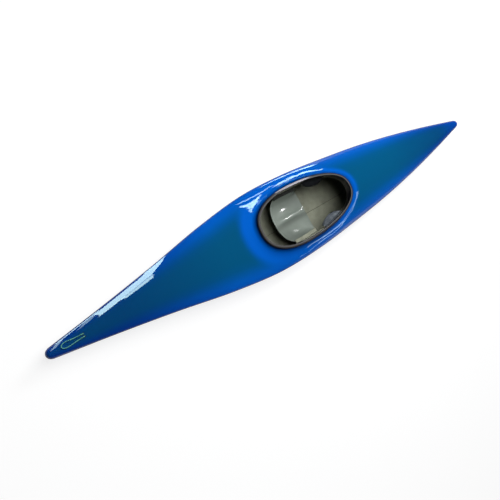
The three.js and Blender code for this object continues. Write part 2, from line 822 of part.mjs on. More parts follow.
// Seat: two dishes with a ridge between them, a rear lip and sides that rise to the hip plates' shelves
function seatGrid() {
  const sideInset = plateInnerInset + fitGap + seatThickness + fitGap;
  const sideDrop = hipShelfTop + hipPlateThickness + hipShelfFall * hipShelfSeatShare + fitGap;
  const rows = [];
  for (let i = 0; i <= seatRows; i += 1) {
    const u = i / seatRows;
    const row = [];
    for (let j = 0; j <= seatColumns; j += 1) {
      const v = 2 * j / seatColumns - 1;
      const side = Math.abs(v);
      const rear = seatRear + seatRearSweep * side ** 2.5;
      const x = rear + (seatFront - rear) * u;
      const flare = Math.max(u - seatFlareShare, 0) / (1 - seatFlareShare);
      const y = v * (rimHalfWidth(x, sideInset) + seatFrontFlare * flare);
      const dish = Math.sin(Math.PI * Math.min(side / 0.9, 1)) ** 2 * Math.sin(Math.PI * u) ** 0.5;
      const ridge = Math.exp(-((v / seatRidgeShare) ** 2)) * Math.sin(Math.PI * u) ** 0.6;
      const wall = Math.max((side - 0.66) / 0.34, 0) ** 2.2;
      const bottom = seatFloorHeight + seatRearRise * (1 - u) ** 3 + seatFrontRise * u ** 3
        - seatDishDepth * dish + seatRidgeHeight * ridge;
      const fall = Math.max(u - seatSideLevelShare, 0) / (1 - seatSideLevelShare);
      const wallTop = rimZ(x) - sideDrop - seatSideFrontFall * fall * fall;
      row.push([x, y, bottom + (wallTop - bottom) * wall]);
    }
    rows.push(row);
  }
  return rows;
}

function addSeat() {
  const top = seatGrid();
  const under = offsetGrid(top, -seatThickness);
  addPart('seat_pan', geometryOf(solidOf(sheetSolid(top, under))), seatLaminate());
  const floor = shellThickness + fitGap + floorLinerThickness + fitGap;
  const part = (rows) => rows.slice(seatBlockRows[0], seatBlockRows[1] + 1)
    .map((row) => row.slice(seatBlockColumns[0], seatBlockColumns[1] + 1));
  const blockTop = part(under).map((row) => row.map(([x, y, z]) => [x, y, z - fitGap]));
  const blockBottom = part(under).map((row) => row.map(([x, y]) => [x, y, floor]));
  addPart('seat_block', geometryOf(solidOf(sheetSolid(blockTop, blockBottom))), greyFoam());
}

// Footrest: a board on two sliding nuts, held by knobs in rails on the hull sides
const studX = footrestPlace - earLength * studPlaceShare;
const railLength = 2 * footrestTravel + slideHeadLength + 2 * railEndMargin;
const railInside = beamAt(studX + railLength / 2, shellThickness) - railSeamClear;
const railOutside = railInside + railDepth;
const boardHalfWidth = railInside - boardSideClear;

function railSection() {
  const half = railHeight / 2;
  const slot = railSlot / 2;
  const outline = [
    [0, slot],
    [0, half],
    [railDepth, half],
    [railDepth, -half],
    [0, -half],
    [0, -slot],
    [railWall, -slot],
    [railWall, railWall - half],
    [railDepth - railWall, railWall - half],
    [railDepth - railWall, half - railWall],
    [railWall, half - railWall],
    [railWall, slot],
  ];
  return new THREE.Shape(outline.map(([y, z]) => new THREE.Vector2(y, z)));
}

// An outline in Y and Z, drawn out along X from its start
function alongX(shape, length, start) {
  const geometry = new THREE.ExtrudeGeometry(shape, { depth: length, bevelEnabled: false, curveSegments: 4 });
  const turn = new THREE.Matrix4().makeBasis(
    new THREE.Vector3(0, 1, 0), new THREE.Vector3(0, 0, 1), new THREE.Vector3(1, 0, 0));
  return geometry.applyMatrix4(turn).translate(start, 0, 0);
}

function roundedPanel(halfWidth, low, high, corner) {
  const shape = new THREE.Shape();
  shape.moveTo(-halfWidth + corner, low);
  shape.lineTo(halfWidth - corner, low);
  shape.absarc(halfWidth - corner, low + corner, corner, -quarterTurn, 0);
  shape.absarc(halfWidth - corner, high - corner, corner, 0, quarterTurn);
  shape.absarc(-halfWidth + corner, high - corner, corner, quarterTurn, 2 * quarterTurn);
  shape.absarc(-halfWidth + corner, low + corner, corner, 2 * quarterTurn, 3 * quarterTurn);
  return shape;
}

const earOutside = railInside - fitGap;
const earInside = earOutside - earThickness;

function studHole(sign) {
  return solidOf(new THREE.CylinderGeometry(studRadius + fitGap, studRadius + fitGap, railDepth * 4, 12)
    .translate(studX, sign * railInside, railCentreHeight));
}

function footrestBoard() {
  const panel = roundedPanel(boardHalfWidth, boardBottom, boardTop, boardCorner);
  let board = solidOf(alongX(panel, boardThickness, footrestPlace));
  const half = earHeight / 2;
  const low = railCentreHeight - half;
  const high = railCentreHeight + half;
  sides.forEach(([, sign]) => {
    const across = [sign * (boardHalfWidth - boardCorner), sign * earOutside].sort((a, b) => a - b);
    const wing = box([footrestPlace, across[0], low], [footrestPlace + boardThickness, across[1], high]);
    const ends = [sign * earInside, sign * earOutside].sort((a, b) => a - b);
    const ear = box([footrestPlace - earLength, ends[0], low], [footrestPlace + boardThickness, ends[1], high]);
    board = board.add(solidOf(wing)).add(solidOf(ear)).subtract(studHole(sign));
  });
  return geometryOf(board);
}

function slideNut(sign) {
  const mid = studX;
  const headHalf = railHeight / 2 - railWall - fitGap;
  const neckHalf = railSlot / 2 - fitGap;
  const headStart = railInside + railWall + fitGap;
  const halfLong = slideHeadLength / 2;
  const head = box(
    [mid - halfLong, headStart, railCentreHeight - headHalf],
    [mid + halfLong, headStart + slideHeadThickness, railCentreHeight + headHalf]);
  const neck = box(
    [mid - halfLong, railInside, railCentreHeight - neckHalf],
    [mid + halfLong, headStart + slideHeadThickness / 2, railCentreHeight + neckHalf]);
  const nut = solidOf(head).add(solidOf(neck)).subtract(studHole(1));
  return sided(geometryOf(nut), sign);
}

function knob(sign) {
  const points = [];
  const count = knobLobes * 6;
  for (let i = 0; i < count; i += 1) {
    const angle = i * 2 * Math.PI / count;
    const radius = knobRadius * (1 - knobLobeShare * (0.5 - Math.cos(angle * knobLobes) / 2));
    points.push(new THREE.Vector2(radius * Math.cos(angle), radius * Math.sin(angle)));
  }
  const head = new THREE.ExtrudeGeometry(new THREE.Shape(points), { depth: knobDepth, bevelEnabled: false });
  head.rotateX(quarterTurn);
  const hub = knobHubGap + earThickness + railWall + slideHeadThickness;
  const stud = new THREE.CylinderGeometry(studRadius, studRadius, hub + knobDepth / 2, 12)
    .translate(0, hub / 2 - knobDepth / 4, 0);
  const whole = geometryOf(solidOf(head).add(solidOf(stud)));
  whole.translate(studX, earInside - fitGap, railCentreHeight);
  return sided(whole, sign);
}

function addFootrest() {
  addPart('footrest_board', footrestBoard(), boardPlastic());
  const pad = roundedPanel(
    boardHalfWidth - padMargin, boardBottom + padMargin, boardTop - padMargin, boardCorner - padMargin / 2);
  addPart('footrest_pad', alongX(pad, padThickness, footrestPlace - padThickness - fitGap), greyFoam());
  const start = studX - railLength / 2;
  sides.forEach(([side, sign]) => {
    const rail = alongX(railSection(), railLength, start).translate(0, railInside, railCentreHeight);
    const blank = box(
      [start, railOutside + fitGap, railCentreHeight - railBlockHeight / 2],
      [start + railLength, halfBeam, railCentreHeight + railBlockHeight / 2]);
    addPart(`footrest_rail_${side}`, sided(rail, sign), aluminium());
    addPart(`rail_block_${side}`, sided(fitted(blank), sign), whiteFoam());
    addPart(`slide_nut_${side}`, slideNut(sign), steel());
    addPart(`footrest_knob_${side}`, knob(sign), blackPlastic());
  });
}

// Stern grab loop: one cord through two sleeves, knotted under the deck
function cordTube(points, diameter, sidesRound, steps) {
  const path = new THREE.CatmullRomCurve3(points.map((point) => new THREE.Vector3(...point)), false, 'centripetal');
  const ring = [];
  for (let i = 0; i < sidesRound; i += 1) {
    const angle = i * 2 * Math.PI / sidesRound;
    ring.push(new THREE.Vector2(diameter / 2 * Math.cos(angle), diameter / 2 * Math.sin(angle)));
  }
  return new THREE.ExtrudeGeometry(new THREE.Shape(ring), { steps, extrudePath: path });
}

function addGrabLoop() {
  const flangeUnder = deckZ(loopHoleX + sleeveFlangeDiameter / 2, 0, 0) + fitGap * 2;
  const bottom = flangeUnder - sleeveDepth;
  const bore = sleeveBore / 2;
  const outer = sleeveDiameter / 2;
  const flange = sleeveFlangeDiameter / 2;
  const profile = [
    [bore, bottom],
    [outer, bottom],
    [outer, flangeUnder],
    [flange, flangeUnder],
    [flange, flangeUnder + sleeveFlangeHeight / 2],
    [flange - sleeveFlangeHeight / 2, flangeUnder + sleeveFlangeHeight],
    [bore, flangeUnder + sleeveFlangeHeight],
    [bore, bottom],
  ];
  const points = profile.map(([r, z]) => new THREE.Vector2(r, z));
  sides.forEach(([side, sign]) => {
    const place = [loopHoleX, sign * loopHoleSpacing / 2, 0];
    const sleeve = new THREE.LatheGeometry(points, 12).rotateX(quarterTurn);
    const knot = new THREE.SphereGeometry(knotRadius, 12, 8);
    addPart(`loop_sleeve_${side}`, sleeve, blackPlastic(), place);
    addPart(`loop_knot_${side}`, knot, mintCord(), [place[0], place[1], bottom - fitGap * 2 - knotRadius]);
  });
  addPart('stern_grab_loop', cordTube(loopRoute, cordDiameter, cordSides, cordSteps), mintCord());
}

addShells();
addRim();
addHips();
addThighHooks();
addFloorLiners();
addFoam();
addSeat();
addFootrest();
addGrabLoop();

export default boat;
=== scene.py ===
import math

import bmesh
import bpy
import numpy as np
from mathutils import Matrix, Vector


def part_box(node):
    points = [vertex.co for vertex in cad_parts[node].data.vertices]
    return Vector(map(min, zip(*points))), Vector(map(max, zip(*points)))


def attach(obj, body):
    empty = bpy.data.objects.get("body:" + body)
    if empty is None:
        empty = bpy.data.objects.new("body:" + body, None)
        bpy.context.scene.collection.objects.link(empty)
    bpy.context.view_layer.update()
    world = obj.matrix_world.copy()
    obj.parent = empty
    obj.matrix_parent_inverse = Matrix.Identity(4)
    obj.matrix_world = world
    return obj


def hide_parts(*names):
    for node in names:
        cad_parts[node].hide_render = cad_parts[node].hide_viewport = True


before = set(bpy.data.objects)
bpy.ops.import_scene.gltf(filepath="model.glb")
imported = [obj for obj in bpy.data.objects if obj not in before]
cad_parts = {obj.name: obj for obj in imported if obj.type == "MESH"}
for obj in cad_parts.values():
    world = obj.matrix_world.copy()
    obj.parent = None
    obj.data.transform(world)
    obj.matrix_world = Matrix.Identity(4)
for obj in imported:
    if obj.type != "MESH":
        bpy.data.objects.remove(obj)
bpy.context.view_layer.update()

BODY = "kayak"

# Camera: the photograph's own view, as fitted to the boat's outline in it
CAMERA_PLACE = Vector((-2.379, 0.094, 3.365))
CAMERA_VIEW = Vector((0.4967, -0.0411, -0.8669))
CAMERA_UP = Vector((0.4362, 0.8753, 0.2085))
SENSOR_WIDTH = 36
LENS = 38.88
IMAGE_SIZE = 500
FOCAL_PIXELS = IMAGE_SIZE * LENS / SENSOR_WIDTH


def add_camera():
    data = bpy.data.cameras.new("camera")
    data.sensor_width = SENSOR_WIDTH
    data.lens = LENS
    camera = bpy.data.objects.new("camera", data)
    bpy.context.collection.objects.link(camera)
    back = -CAMERA_VIEW.normalized()
    right = CAMERA_UP.cross(back).normalized()
    up = back.cross(right)
    turn = Matrix((right, up, back)).transposed().to_4x4()
    camera.matrix_world = Matrix.Translation(CAMERA_PLACE) @ turn
    bpy.context.scene.camera = camera


add_camera()
bpy.context.scene.view_settings.view_transform = "Standard"

# Sizes in metres, as in the part's source
HALF_LENGTH = 2.0
HALF_BEAM = 0.304
SEAM_HEIGHT = 0.170
STERN_SEAM_DROP = 0.042
BOW_SEAM_DROP = 0.002
STERN_ROCKER = 0.096
BOW_ROCKER = 0.126
FLAT_KEEL_HALF = 0.4
DECK_CROWN = 0.118
TIP_RADIUS = 0.027
SHELL = 0.004
TIP_FILL = 0.045
TIP_TAPER = 0.3
# The breadth's shares come from a fit to the photo's outline, changed a little, as in the part's source
BEAM_SHARES = np.array([0.092, 0.304, 0.54, 0.804, 0.982, 0.987, 0.895, 0.768, 0.585, 0.354, 0.092])
CROWN_SHARES = np.array([0.2, 0.27, 0.36, 0.47, 0.62, 0.82, 0.96, 0.78, 0.6, 0.42, 0.24])
FLAT_BOTTOM = 0.38
BILGE_ACROSS, BILGE_DOWN = 2.6, 2.2
DECK_ACROSS, DECK_UP = 2.0, 1.8
RIM_LENGTH = 0.872
RIM_WIDTH = 0.416
RIM_CENTRE = -0.03
RIM_TAPER = 0.117
RIM_POWER = 2.35
RIM_REAR = 0.271
RIM_FRONT = 0.312
LIP = 0.017
RISER = 0.025
SKIRT_DEPTH = 0.056
SKIRT = 0.004
FLARE_REACH = 0.09
FLARE_POWER = 2.2

# The fair skin, whose normals the deck has outside the rim on port: its slope, and where it starts and how it fades in
FAIR_RISE, FAIR_BEND = 0.02, 0.08
FAIR_HALF, FAIR_HALF_FADE = 0.75, 0.15
FAIR_OFF_RIM, FAIR_OFF_RIM_FADE = 0.028, 0.022
FAIR_OFF_KEEL, FAIR_OFF_KEEL_FADE = 0.02, 0.06
FAIR_STEP = 0.05

GAP = 0.0003
TAPE_END = 1.76
LINER_FRONT = 0.64
LINER = 0.002
LINER_SPLIT = 0.040
RAIL_CENTRE = 0.104
STUD_X = 0.79516

QUARTER = math.pi / 2
SIDES = (("port", 1), ("starboard", -1))


def unit(vectors):
    return vectors / np.maximum(np.linalg.norm(vectors, axis=-1, keepdims=True), 1e-12)


def circle(steps):
    return np.linspace(0, 2 * math.pi, steps, endpoint=False)


def fade(value, start, reach):
    return np.clip((value - start) / reach, 0, 1)


def eased(t):
    return t * t * (3 - 2 * t)


# Curves of the boat, on arrays
def curve_at(shares, x):
    spans = len(shares) - 1
    place = (x / HALF_LENGTH + 1) / 2 * spans
    index = np.clip(np.floor(place).astype(int), 0, spans - 1)
    t = place - index
    more = np.concatenate([[2 * shares[0] - shares[1]], shares, [2 * shares[-1] - shares[-2]]])
    before, a, b, after = more[index], more[index + 1], more[index + 2], more[index + 3]
    bend = (2 * before - 5 * a + 4 * b - after) * t + (3 * a - before - 3 * b + after) * t * t
    return (2 * a + (b - before) * t + bend * t) / 2


def tip_rounding(x, inset):
    end_inset = TIP_FILL + inset - SHELL if inset > 0 else 0
    t = np.clip((HALF_LENGTH - end_inset - np.abs(x)) / TIP_RADIUS, 0, 1)
    return np.sqrt(t * (2 - t))


def seam_z(x):
    return SEAM_HEIGHT - np.where(x < 0, STERN_SEAM_DROP, BOW_SEAM_DROP) * (x / HALF_LENGTH) ** 2


def keel_z(x):
    rocker = np.where(x < 0, STERN_ROCKER, BOW_ROCKER)
    return rocker * (np.maximum(np.abs(x) - FLAT_KEEL_HALF, 0) / (HALF_LENGTH - FLAT_KEEL_HALF)) ** 2


def beam_at(x, inset):
    return np.maximum(HALF_BEAM * curve_at(BEAM_SHARES, x) - inset, 0) * tip_rounding(x, inset)


def crown_at(x, inset):
    return (DECK_CROWN * curve_at(CROWN_SHARES, x) - inset) * tip_rounding(x, inset)


def hull_point(x, turn, inset):
    width = beam_at(x, inset)
    depth = (seam_z(x) - keel_z(x) - inset) * tip_rounding(x, inset)
    flat = FLAT_BOTTOM * (1 - (x / HALF_LENGTH) ** 2)
    y = width * (flat + (1 - flat) * np.maximum(np.cos(turn), 0) ** (2 / BILGE_ACROSS))
    z = seam_z(x) - depth * np.sin(turn) ** (2 / BILGE_DOWN)
    return np.stack(np.broadcast_arrays(x, y, z), -1)


def rim_point(angle, inset):
    c, s = np.cos(angle), np.sin(angle)
    along = np.sign(c) * np.abs(c) ** (2 / RIM_POWER)
    across = np.sign(s) * np.abs(s) ** (2 / RIM_POWER)
    x = RIM_CENTRE + (RIM_LENGTH / 2 - inset) * along
    y = (RIM_WIDTH / 2 - inset) * (1 - RIM_TAPER * along) * across
    return x, np.where(np.abs(s) < 1e-9, 0, y)


def rim_z(x):
    return RIM_REAR + (RIM_FRONT - RIM_REAR) * ((x - RIM_CENTRE) / RIM_LENGTH + 0.5)


def rim_half_width(x, inset):
    along = np.clip((x - RIM_CENTRE) / (RIM_LENGTH / 2 - inset), -1, 1)
    across = (1 - np.abs(along) ** RIM_POWER) ** (1 / RIM_POWER)
    return (RIM_WIDTH / 2 - inset) * (1 - RIM_TAPER * along) * across


def plain_deck_z(x, y, inset):
    width = np.maximum(beam_at(x, inset), 1e-9)
    share = np.minimum(np.abs(y) / width, 1)
    return seam_z(x) + crown_at(x, inset) * (1 - share ** DECK_ACROSS) ** (1 / DECK_UP)


def rim_distance(x, y):
    along = (x - RIM_CENTRE) / (RIM_LENGTH / 2 - LIP)
    half = (RIM_WIDTH / 2 - LIP) * (1 - RIM_TAPER * np.clip(along, -1, 1))
    spread = (np.abs(along) ** RIM_POWER + np.abs(y / half) ** RIM_POWER) ** (1 / RIM_POWER)
    scale = 1 / np.maximum(spread, 1)
    edge_x, edge_y = RIM_CENTRE + (x - RIM_CENTRE) * scale, y * scale
    return np.hypot(x - edge_x, y - edge_y), edge_x, edge_y


def deck_z(x, y, inset):
    away, edge_x, edge_y = rim_distance(x, y)
    fade = np.maximum(1 - away / FLARE_REACH, 0) ** FLARE_POWER
    wanted = rim_z(edge_x) - RISER - inset
    return plain_deck_z(x, y, inset) + (wanted - plain_deck_z(edge_x, edge_y, inset)) * fade


def deck_point(x, turn, inset, inner):
    width = np.maximum(beam_at(x, inset), 1e-9)
    start = np.where(inner > 0, np.arccos(np.minimum(inner / width, 1) ** (DECK_ACROSS / 2)), QUARTER)
    y = width * np.maximum(np.cos(turn / QUARTER * start), 0) ** (2 / DECK_ACROSS)
    y = np.where(turn >= QUARTER, inner, y)
    z = deck_z(x, y, inset)
    return np.stack(np.broadcast_arrays(x, y, z), -1)


def deck_normals(points):
    x, y = points[:, 0], np.abs(points[:, 1])
    step_x, step_turn = 1e-4, 1e-3
    turn = np.arccos(np.clip(y / np.maximum(beam_at(x, 0), 1e-9), 0, 1))

    def place(x_at, turn_at):
        y_at = beam_at(x_at, 0) * np.cos(turn_at)
        return np.stack([x_at, y_at, deck_z(x_at, y_at, 0)], -1)

    low = np.maximum(turn - step_turn, 1e-4)
    around = place(x, turn + step_turn) - place(x, low)
    along = place(x + step_x, turn) - place(x - step_x, turn)
    normal = np.cross(around, along)
    normal[:, 1] *= np.where(points[:, 1] < 0, -1, 1)
    return unit(normal)


def fair_share(x, y):
    along = fade(FAIR_HALF - np.abs(x - RIM_CENTRE), 0, FAIR_HALF_FADE)
    return fade(y, FAIR_OFF_KEEL, FAIR_OFF_KEEL_FADE) * along


# Normals that the deck shades with. Outside the rim on port they are those of a fair skin and not the mesh's own, so
# the flare doesn't show in the shading there
def shading_normals(points):
    x, y = points[:, 0], np.abs(points[:, 1])
    width = np.maximum(beam_at(x, 0), 1e-9)
    share = np.clip(y / width, 0, 0.998)
    fall = crown_at(x, 0) / width * 2 / DECK_UP * share * (1 - share ** 2) ** (1 / DECK_UP - 1)
    spread = (beam_at(x + FAIR_STEP, 0) - beam_at(x - FAIR_STEP, 0)) / (2 * FAIR_STEP)
    rise = FAIR_RISE - FAIR_BEND * x + fall * share * spread
    fair = unit(np.stack([-rise, fall, np.ones_like(x)], -1))
    fine = deck_normals(points)
    off_rim = fade(rim_distance(x, y)[0], FAIR_OFF_RIM, FAIR_OFF_RIM_FADE)
    return unit(fine + (fair - fine) * eased(off_rim * fair_share(x, points[:, 1]))[:, None])


def squeezed(x, inset):
    if inset <= 0:
        return x
    fixed = HALF_LENGTH - TIP_TAPER
    reach = HALF_LENGTH - TIP_FILL - inset + SHELL - fixed
    beyond = np.abs(x) - fixed
    return np.where(beyond > 0, np.sign(x) * (fixed + beyond * reach / (HALF_LENGTH - fixed)), x)


# Fine stations from stern to bow, with the cockpit opening's half breadth at each
def make_stations():
    tip = TIP_RADIUS * (1 - np.cos(np.linspace(0, QUARTER, 10)))
    rear, front = rim_point(math.pi, LIP)[0], rim_point(0.0, LIP)[0]
    end = HALF_LENGTH - TIP_RADIUS
    angles = np.linspace(math.pi, 0, 193)
    opening_x, opening_y = rim_point(angles, LIP)
    stern = np.linspace(-end, float(rear), 201)[1:-1]
    bow = np.linspace(float(front), end, 181)[1:-1]
    x = np.concatenate([-HALF_LENGTH + tip, stern, opening_x, bow, HALF_LENGTH - tip[::-1]])
    before, after = len(tip) + len(stern), len(bow) + len(tip)
    inner = np.concatenate([np.zeros(before), opening_y, np.zeros(after)])
    inner[np.abs(inner) < 1e-6] = 0
    return x, inner


STATIONS, OPENING = make_stations()


# Mesh building
class Skin:
    def __init__(self):
        self.points = []
        self.faces = []
        self.slots = []
        self.count = 0

    def grid(self, points, flip=False, slot=0, close_rows=False, close_columns=False):
        points = np.asarray(points, float)
        rows, columns = points.shape[:2]
        index = np.arange(rows * columns).reshape(rows, columns) + self.count
        if close_rows:
            index = np.concatenate([index, index[:1]], 0)
        if close_columns:
            index = np.concatenate([index, index[:, :1]], 1)
        quads = np.stack([index[:-1, :-1], index[1:, :-1], index[1:, 1:], index[:-1, 1:]], -1).reshape(-1, 4)
        if flip:
            quads = quads[:, ::-1]
        self.points.append(points.reshape(-1, 3))
        self.faces.extend(quads.tolist())
        self.slots.extend([slot] * len(quads))
        self.count += rows * columns

    def add(self, other):
        self.points.extend(other.points)
        self.faces.extend([[i + self.count for i in face] for face in other.faces])
        self.slots.extend(other.slots)
        self.count += other.count

    def mirror(self):
        points = np.concatenate(self.points)
        self.points.append(points * [1, -1, 1])
        self.faces.extend([[i + self.count for i in face[::-1]] for face in list(self.faces)])
        self.slots.extend(list(self.slots))
        self.count *= 2

    def build(self, name, materials, body=BODY, weld=2e-6, outward=False):
        mesh = bpy.data.meshes.new(name)
        mesh.from_pydata(np.concatenate(self.points).tolist(), [], self.faces)
        mesh.polygons.foreach_set("material_index", self.slots)
        for material in materials:
            mesh.materials.append(material)
        work = bmesh.new()
        work.from_mesh(mesh)
        bmesh.ops.remove_doubles(work, verts=work.verts, dist=weld)
        bmesh.ops.dissolve_degenerate(work, edges=work.edges, dist=weld)
        if outward:
            bmesh.ops.recalc_face_normals(work, faces=work.faces)
        for face in work.faces:
            face.smooth = True
        work.to_mesh(mesh)
        work.free()
        piece = bpy.data.objects.new(name, mesh)
        bpy.context.collection.objects.link(piece)
        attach(piece, body)
        return piece


def grid_normals(points):
    return unit(np.cross(np.gradient(points, axis=0), np.gradient(points, axis=1)))


def perimeter(grid):
    return np.concatenate([grid[0, :-1], grid[:-1, -1], grid[-1, :0:-1], grid[:0:-1, 0]])


# A sheet about a middle surface, with round edges
def sheet(points, thickness, slots=(0, 0)):
    skin = Skin()
    half = thickness / 2
    normals = grid_normals(points)
    edge, edge_normal = perimeter(points), perimeter(normals)
    along = unit(np.roll(edge, -1, 0) - np.roll(edge, 1, 0))
    outward = unit(np.cross(along, edge_normal))
    middle = edge.mean(0)
    if np.sum(outward * (edge - middle)) < 0:
        outward = -outward
    skin.grid(points + normals * half, slot=slots[0])
    skin.grid(points - normals * half, flip=True, slot=slots[1])
    rows = [edge + edge_normal * half]
    for step in range(1, 6):
        tilt = QUARTER * (1 - step / 3)
        rows.append(edge + edge_normal * half * math.sin(tilt) + outward * half * math.cos(tilt))
    rows.append(edge - edge_normal * half)
    skin.grid(np.array(rows), close_columns=True, slot=slots[1])
    return skin


def rounded(points, radius, steps=4):
    points = [np.array(p, float) for p in points]
    result = []
    for i, corner in enumerate(points):
        before, after = points[i - 1], points[(i + 1) % len(points)]
        reach = min(radius, np.linalg.norm(before - corner) / 2.1, np.linalg.norm(after - corner) / 2.1)
        start = corner + unit(before - corner) * reach
        end = corner + unit(after - corner) * reach
        for step in range(steps + 1):
            t = step / steps
            result.append(start * (1 - t) ** 2 + corner * 2 * t * (1 - t) + end * t * t)
    return np.array(result)


def lathe(profile, centre, axis, steps=32):
    axis = unit(np.array(axis, float))
    side = unit(np.cross(axis, [1, 0, 0] if abs(axis[0]) < 0.9 else [0, 1, 0]))
    other = np.cross(axis, side)
    rows = []
    for angle in circle(steps):
        direction = side * math.cos(angle) + other * math.sin(angle)
        rows.append([np.array(centre) + direction * r + axis * h for r, h in profile])
    skin = Skin()
    skin.grid(np.array(rows), close_rows=True)
    return skin


def tube(path, radius, sides=16, closed=False):
    path = np.asarray(path, float)
    if closed:
        along = unit(np.roll(path, -1, 0) - np.roll(path, 1, 0))
    else:
        along = unit(np.gradient(path, axis=0))
    normal = unit(np.cross(along[0], [0.3, 0.2, 0.9]))
    rows = []
    for i, direction in enumerate(along):
        normal = unit(normal - direction * np.dot(normal, direction))
        other = np.cross(direction, normal)
        angles = circle(sides)
        reach = radius(i, angles) if callable(radius) else np.full(sides, radius)
        rows.append([path[i] + (normal * math.cos(a) + other * math.sin(a)) * r for a, r in zip(angles, reach)])
    skin = Skin()
    skin.grid(np.array(rows), close_columns=True, close_rows=closed)
    if not closed:
        for row, point in ((rows[0], path[0]), (rows[-1], path[-1])):
            skin.grid(np.array([row, [point] * sides]), close_columns=True)
    return skin


# Materials
def shader_of(material):
    return material.node_tree.nodes["Principled BSDF"]


def new_material(name, color, roughness, metallic=0.0, specular=0.5):
    material = bpy.data.materials.new(name)
    material.use_nodes = True
    shader = shader_of(material)
    shader.inputs["Base Color"].default_value = (*color, 1)
    shader.inputs["Roughness"].default_value = roughness
    shader.inputs["Metallic"].default_value = metallic
    shader.inputs["Specular IOR Level"].default_value = specular
    return material


def add_node(material, kind, **values):
    node = material.node_tree.nodes.new(kind)
    for name, value in values.items():
        if name in node.inputs:
            node.inputs[name].default_value = value
        else:
            setattr(node, name, value)
    return node


def link(material, source, output, target, name):
    material.node_tree.links.new(source.outputs[output], target.inputs[name])


def ramp(material, stops):
    node = add_node(material, "ShaderNodeValToRGB")
    elements = node.color_ramp.elements
    while len(elements) < len(stops):
        elements.new(0.5)
    for element, (place, color) in zip(elements, stops):
        element.position = place
        element.color = (*color, 1)
    return node


def bump(material, source, output, strength, distance):
    node = add_node(material, "ShaderNodeBump", Strength=strength, Distance=distance)
    link(material, source, output, node, "Height")
    link(material, node, "Normal", shader_of(material), "Normal")


def noise_over(material, scale, stops, detail=3.0):
    shader = shader_of(material)
    place = add_node(material, "ShaderNodeTexCoord")
    noise = add_node(material, "ShaderNodeTexNoise", Scale=scale, Detail=detail)
    colors = ramp(material, stops)
    link(material, place, "Object", noise, "Vector")
    link(material, noise, "Fac", colors, "Fac")
    link(material, colors, "Color", shader, "Base Color")
    return noise


def speckled(name, color, roughness, scale, dark, light, metallic=0.0, low=0.3, high=0.7, grain=None):
    material = new_material(name, color, roughness, metallic)
    noise = noise_over(material, scale, [(low, dark), (high, light)])
    if grain:
        bump(material, noise, "Fac", *grain)
    return material


def plain_name(material):
    return material.name.split(".")[0]


def attribute_node(material, name):
    return add_node(material, "ShaderNodeAttribute", attribute_name=name)


# Multiplies the base colour by a mesh attribute, or mixes it to another colour by one
def blend_by(material, attribute, blend, color=None):
    links = material.node_tree.links
    base = shader_of(material).inputs["Base Color"]
    source = base.links[0].from_socket
    amount = attribute_node(material, attribute)
    mix = add_node(material, "ShaderNodeMix", data_type="RGBA", blend_type=blend)
    mix.inputs[0].default_value = 1.0
    links.new(source, mix.inputs[6])
    if color:
        mix.inputs[7].default_value = (*color, 1)
    links.new(amount.outputs["Fac"], mix.inputs[0 if color else 7])
    links.new(mix.outputs[2], base)


def set_attribute(mesh, name, values):
    layer = mesh.attributes.new(name, "FLOAT", "POINT")
    layer.data.foreach_set("value", np.asarray(values, np.float32))


def read_all(items, name, kind=float, width=1):
    values = np.empty(len(items) * width, kind)
    items.foreach_get(name, values)
    return values.reshape(-1, width) if width > 1 else values


def vertex_places(mesh):
    return read_all(mesh.vertices, "co", width=3)


def gelcoat():
    material = new_material("blue_gelcoat", (0.0, 0.1, 0.4), 0.025)
    shader = shader_of(material)
    teal = attribute_node(material, "teal")
    deep = attribute_node(material, "deep")
    middle = ramp(material, [
        (0.0, (0.0002, 0.132, 0.68)), (0.35, (0.0004, 0.112, 0.45)),
        (0.7, (0.0006, 0.102, 0.28)), (1.0, (0.0008, 0.101, 0.24))])
    ends = ramp(material, [
        (0.0, (0.0006, 0.046, 0.34)), (0.5, (0.0008, 0.055, 0.26)), (1.0, (0.001, 0.064, 0.205))])
    mixed = add_node(material, "ShaderNodeMix", data_type="RGBA")
    link(material, teal, "Fac", middle, "Fac")
    link(material, teal, "Fac", ends, "Fac")
    material.node_tree.links.new(deep.outputs["Fac"], mixed.inputs[0])
    material.node_tree.links.new(middle.outputs["Color"], mixed.inputs[6])
    material.node_tree.links.new(ends.outputs["Color"], mixed.inputs[7])
    material.node_tree.links.new(mixed.outputs[2], shader.inputs["Base Color"])
    # Painted shade near the rim multiplies the paint's colour
    blend_by(material, "shade", "MULTIPLY")
    gloss = attribute_node(material, "gloss")
    link(material, gloss, "Fac", shader, "Specular IOR Level")
    return material


def woven(name, dark, light, roughness, scale=520, strength=0.25):
    material = new_material(name, light, roughness)
    shader = shader_of(material)
    place = add_node(material, "ShaderNodeTexCoord")
    split = add_node(material, "ShaderNodeSeparateXYZ")
    link(material, place, "Object", split, "Vector")
    waves = []
    for axis in ("X", "Y"):
        scaled = add_node(material, "ShaderNodeMath", operation="MULTIPLY")
        scaled.inputs[1].default_value = scale
        link(material, split, axis, scaled, 0)
        wave = add_node(material, "ShaderNodeMath", operation="SINE")
        link(material, scaled, 0, wave, 0)
        waves.append(wave)
    cross = add_node(material, "ShaderNodeMath", operation="MULTIPLY_ADD")
    link(material, waves[0], 0, cross, 0)
    link(material, waves[1], 0, cross, 1)
    cross.inputs[2].default_value = 0.5
    noise = add_node(material, "ShaderNodeTexNoise", Scale=14.0, Detail=5.0)
    link(material, place, "Object", noise, "Vector")
    blend = add_node(material, "ShaderNodeMath", operation="MULTIPLY_ADD")
    link(material, cross, 0, blend, 0)
    blend.inputs[1].default_value = 0.38
    link(material, noise, "Fac", blend, 2)
    colors = ramp(material, [(0.25, dark), (0.95, light)])
    link(material, blend, 0, colors, "Fac")
    link(material, colors, "Color", shader, "Base Color")
    bump(material, cross, 0, strength, 0.0006)
    return material


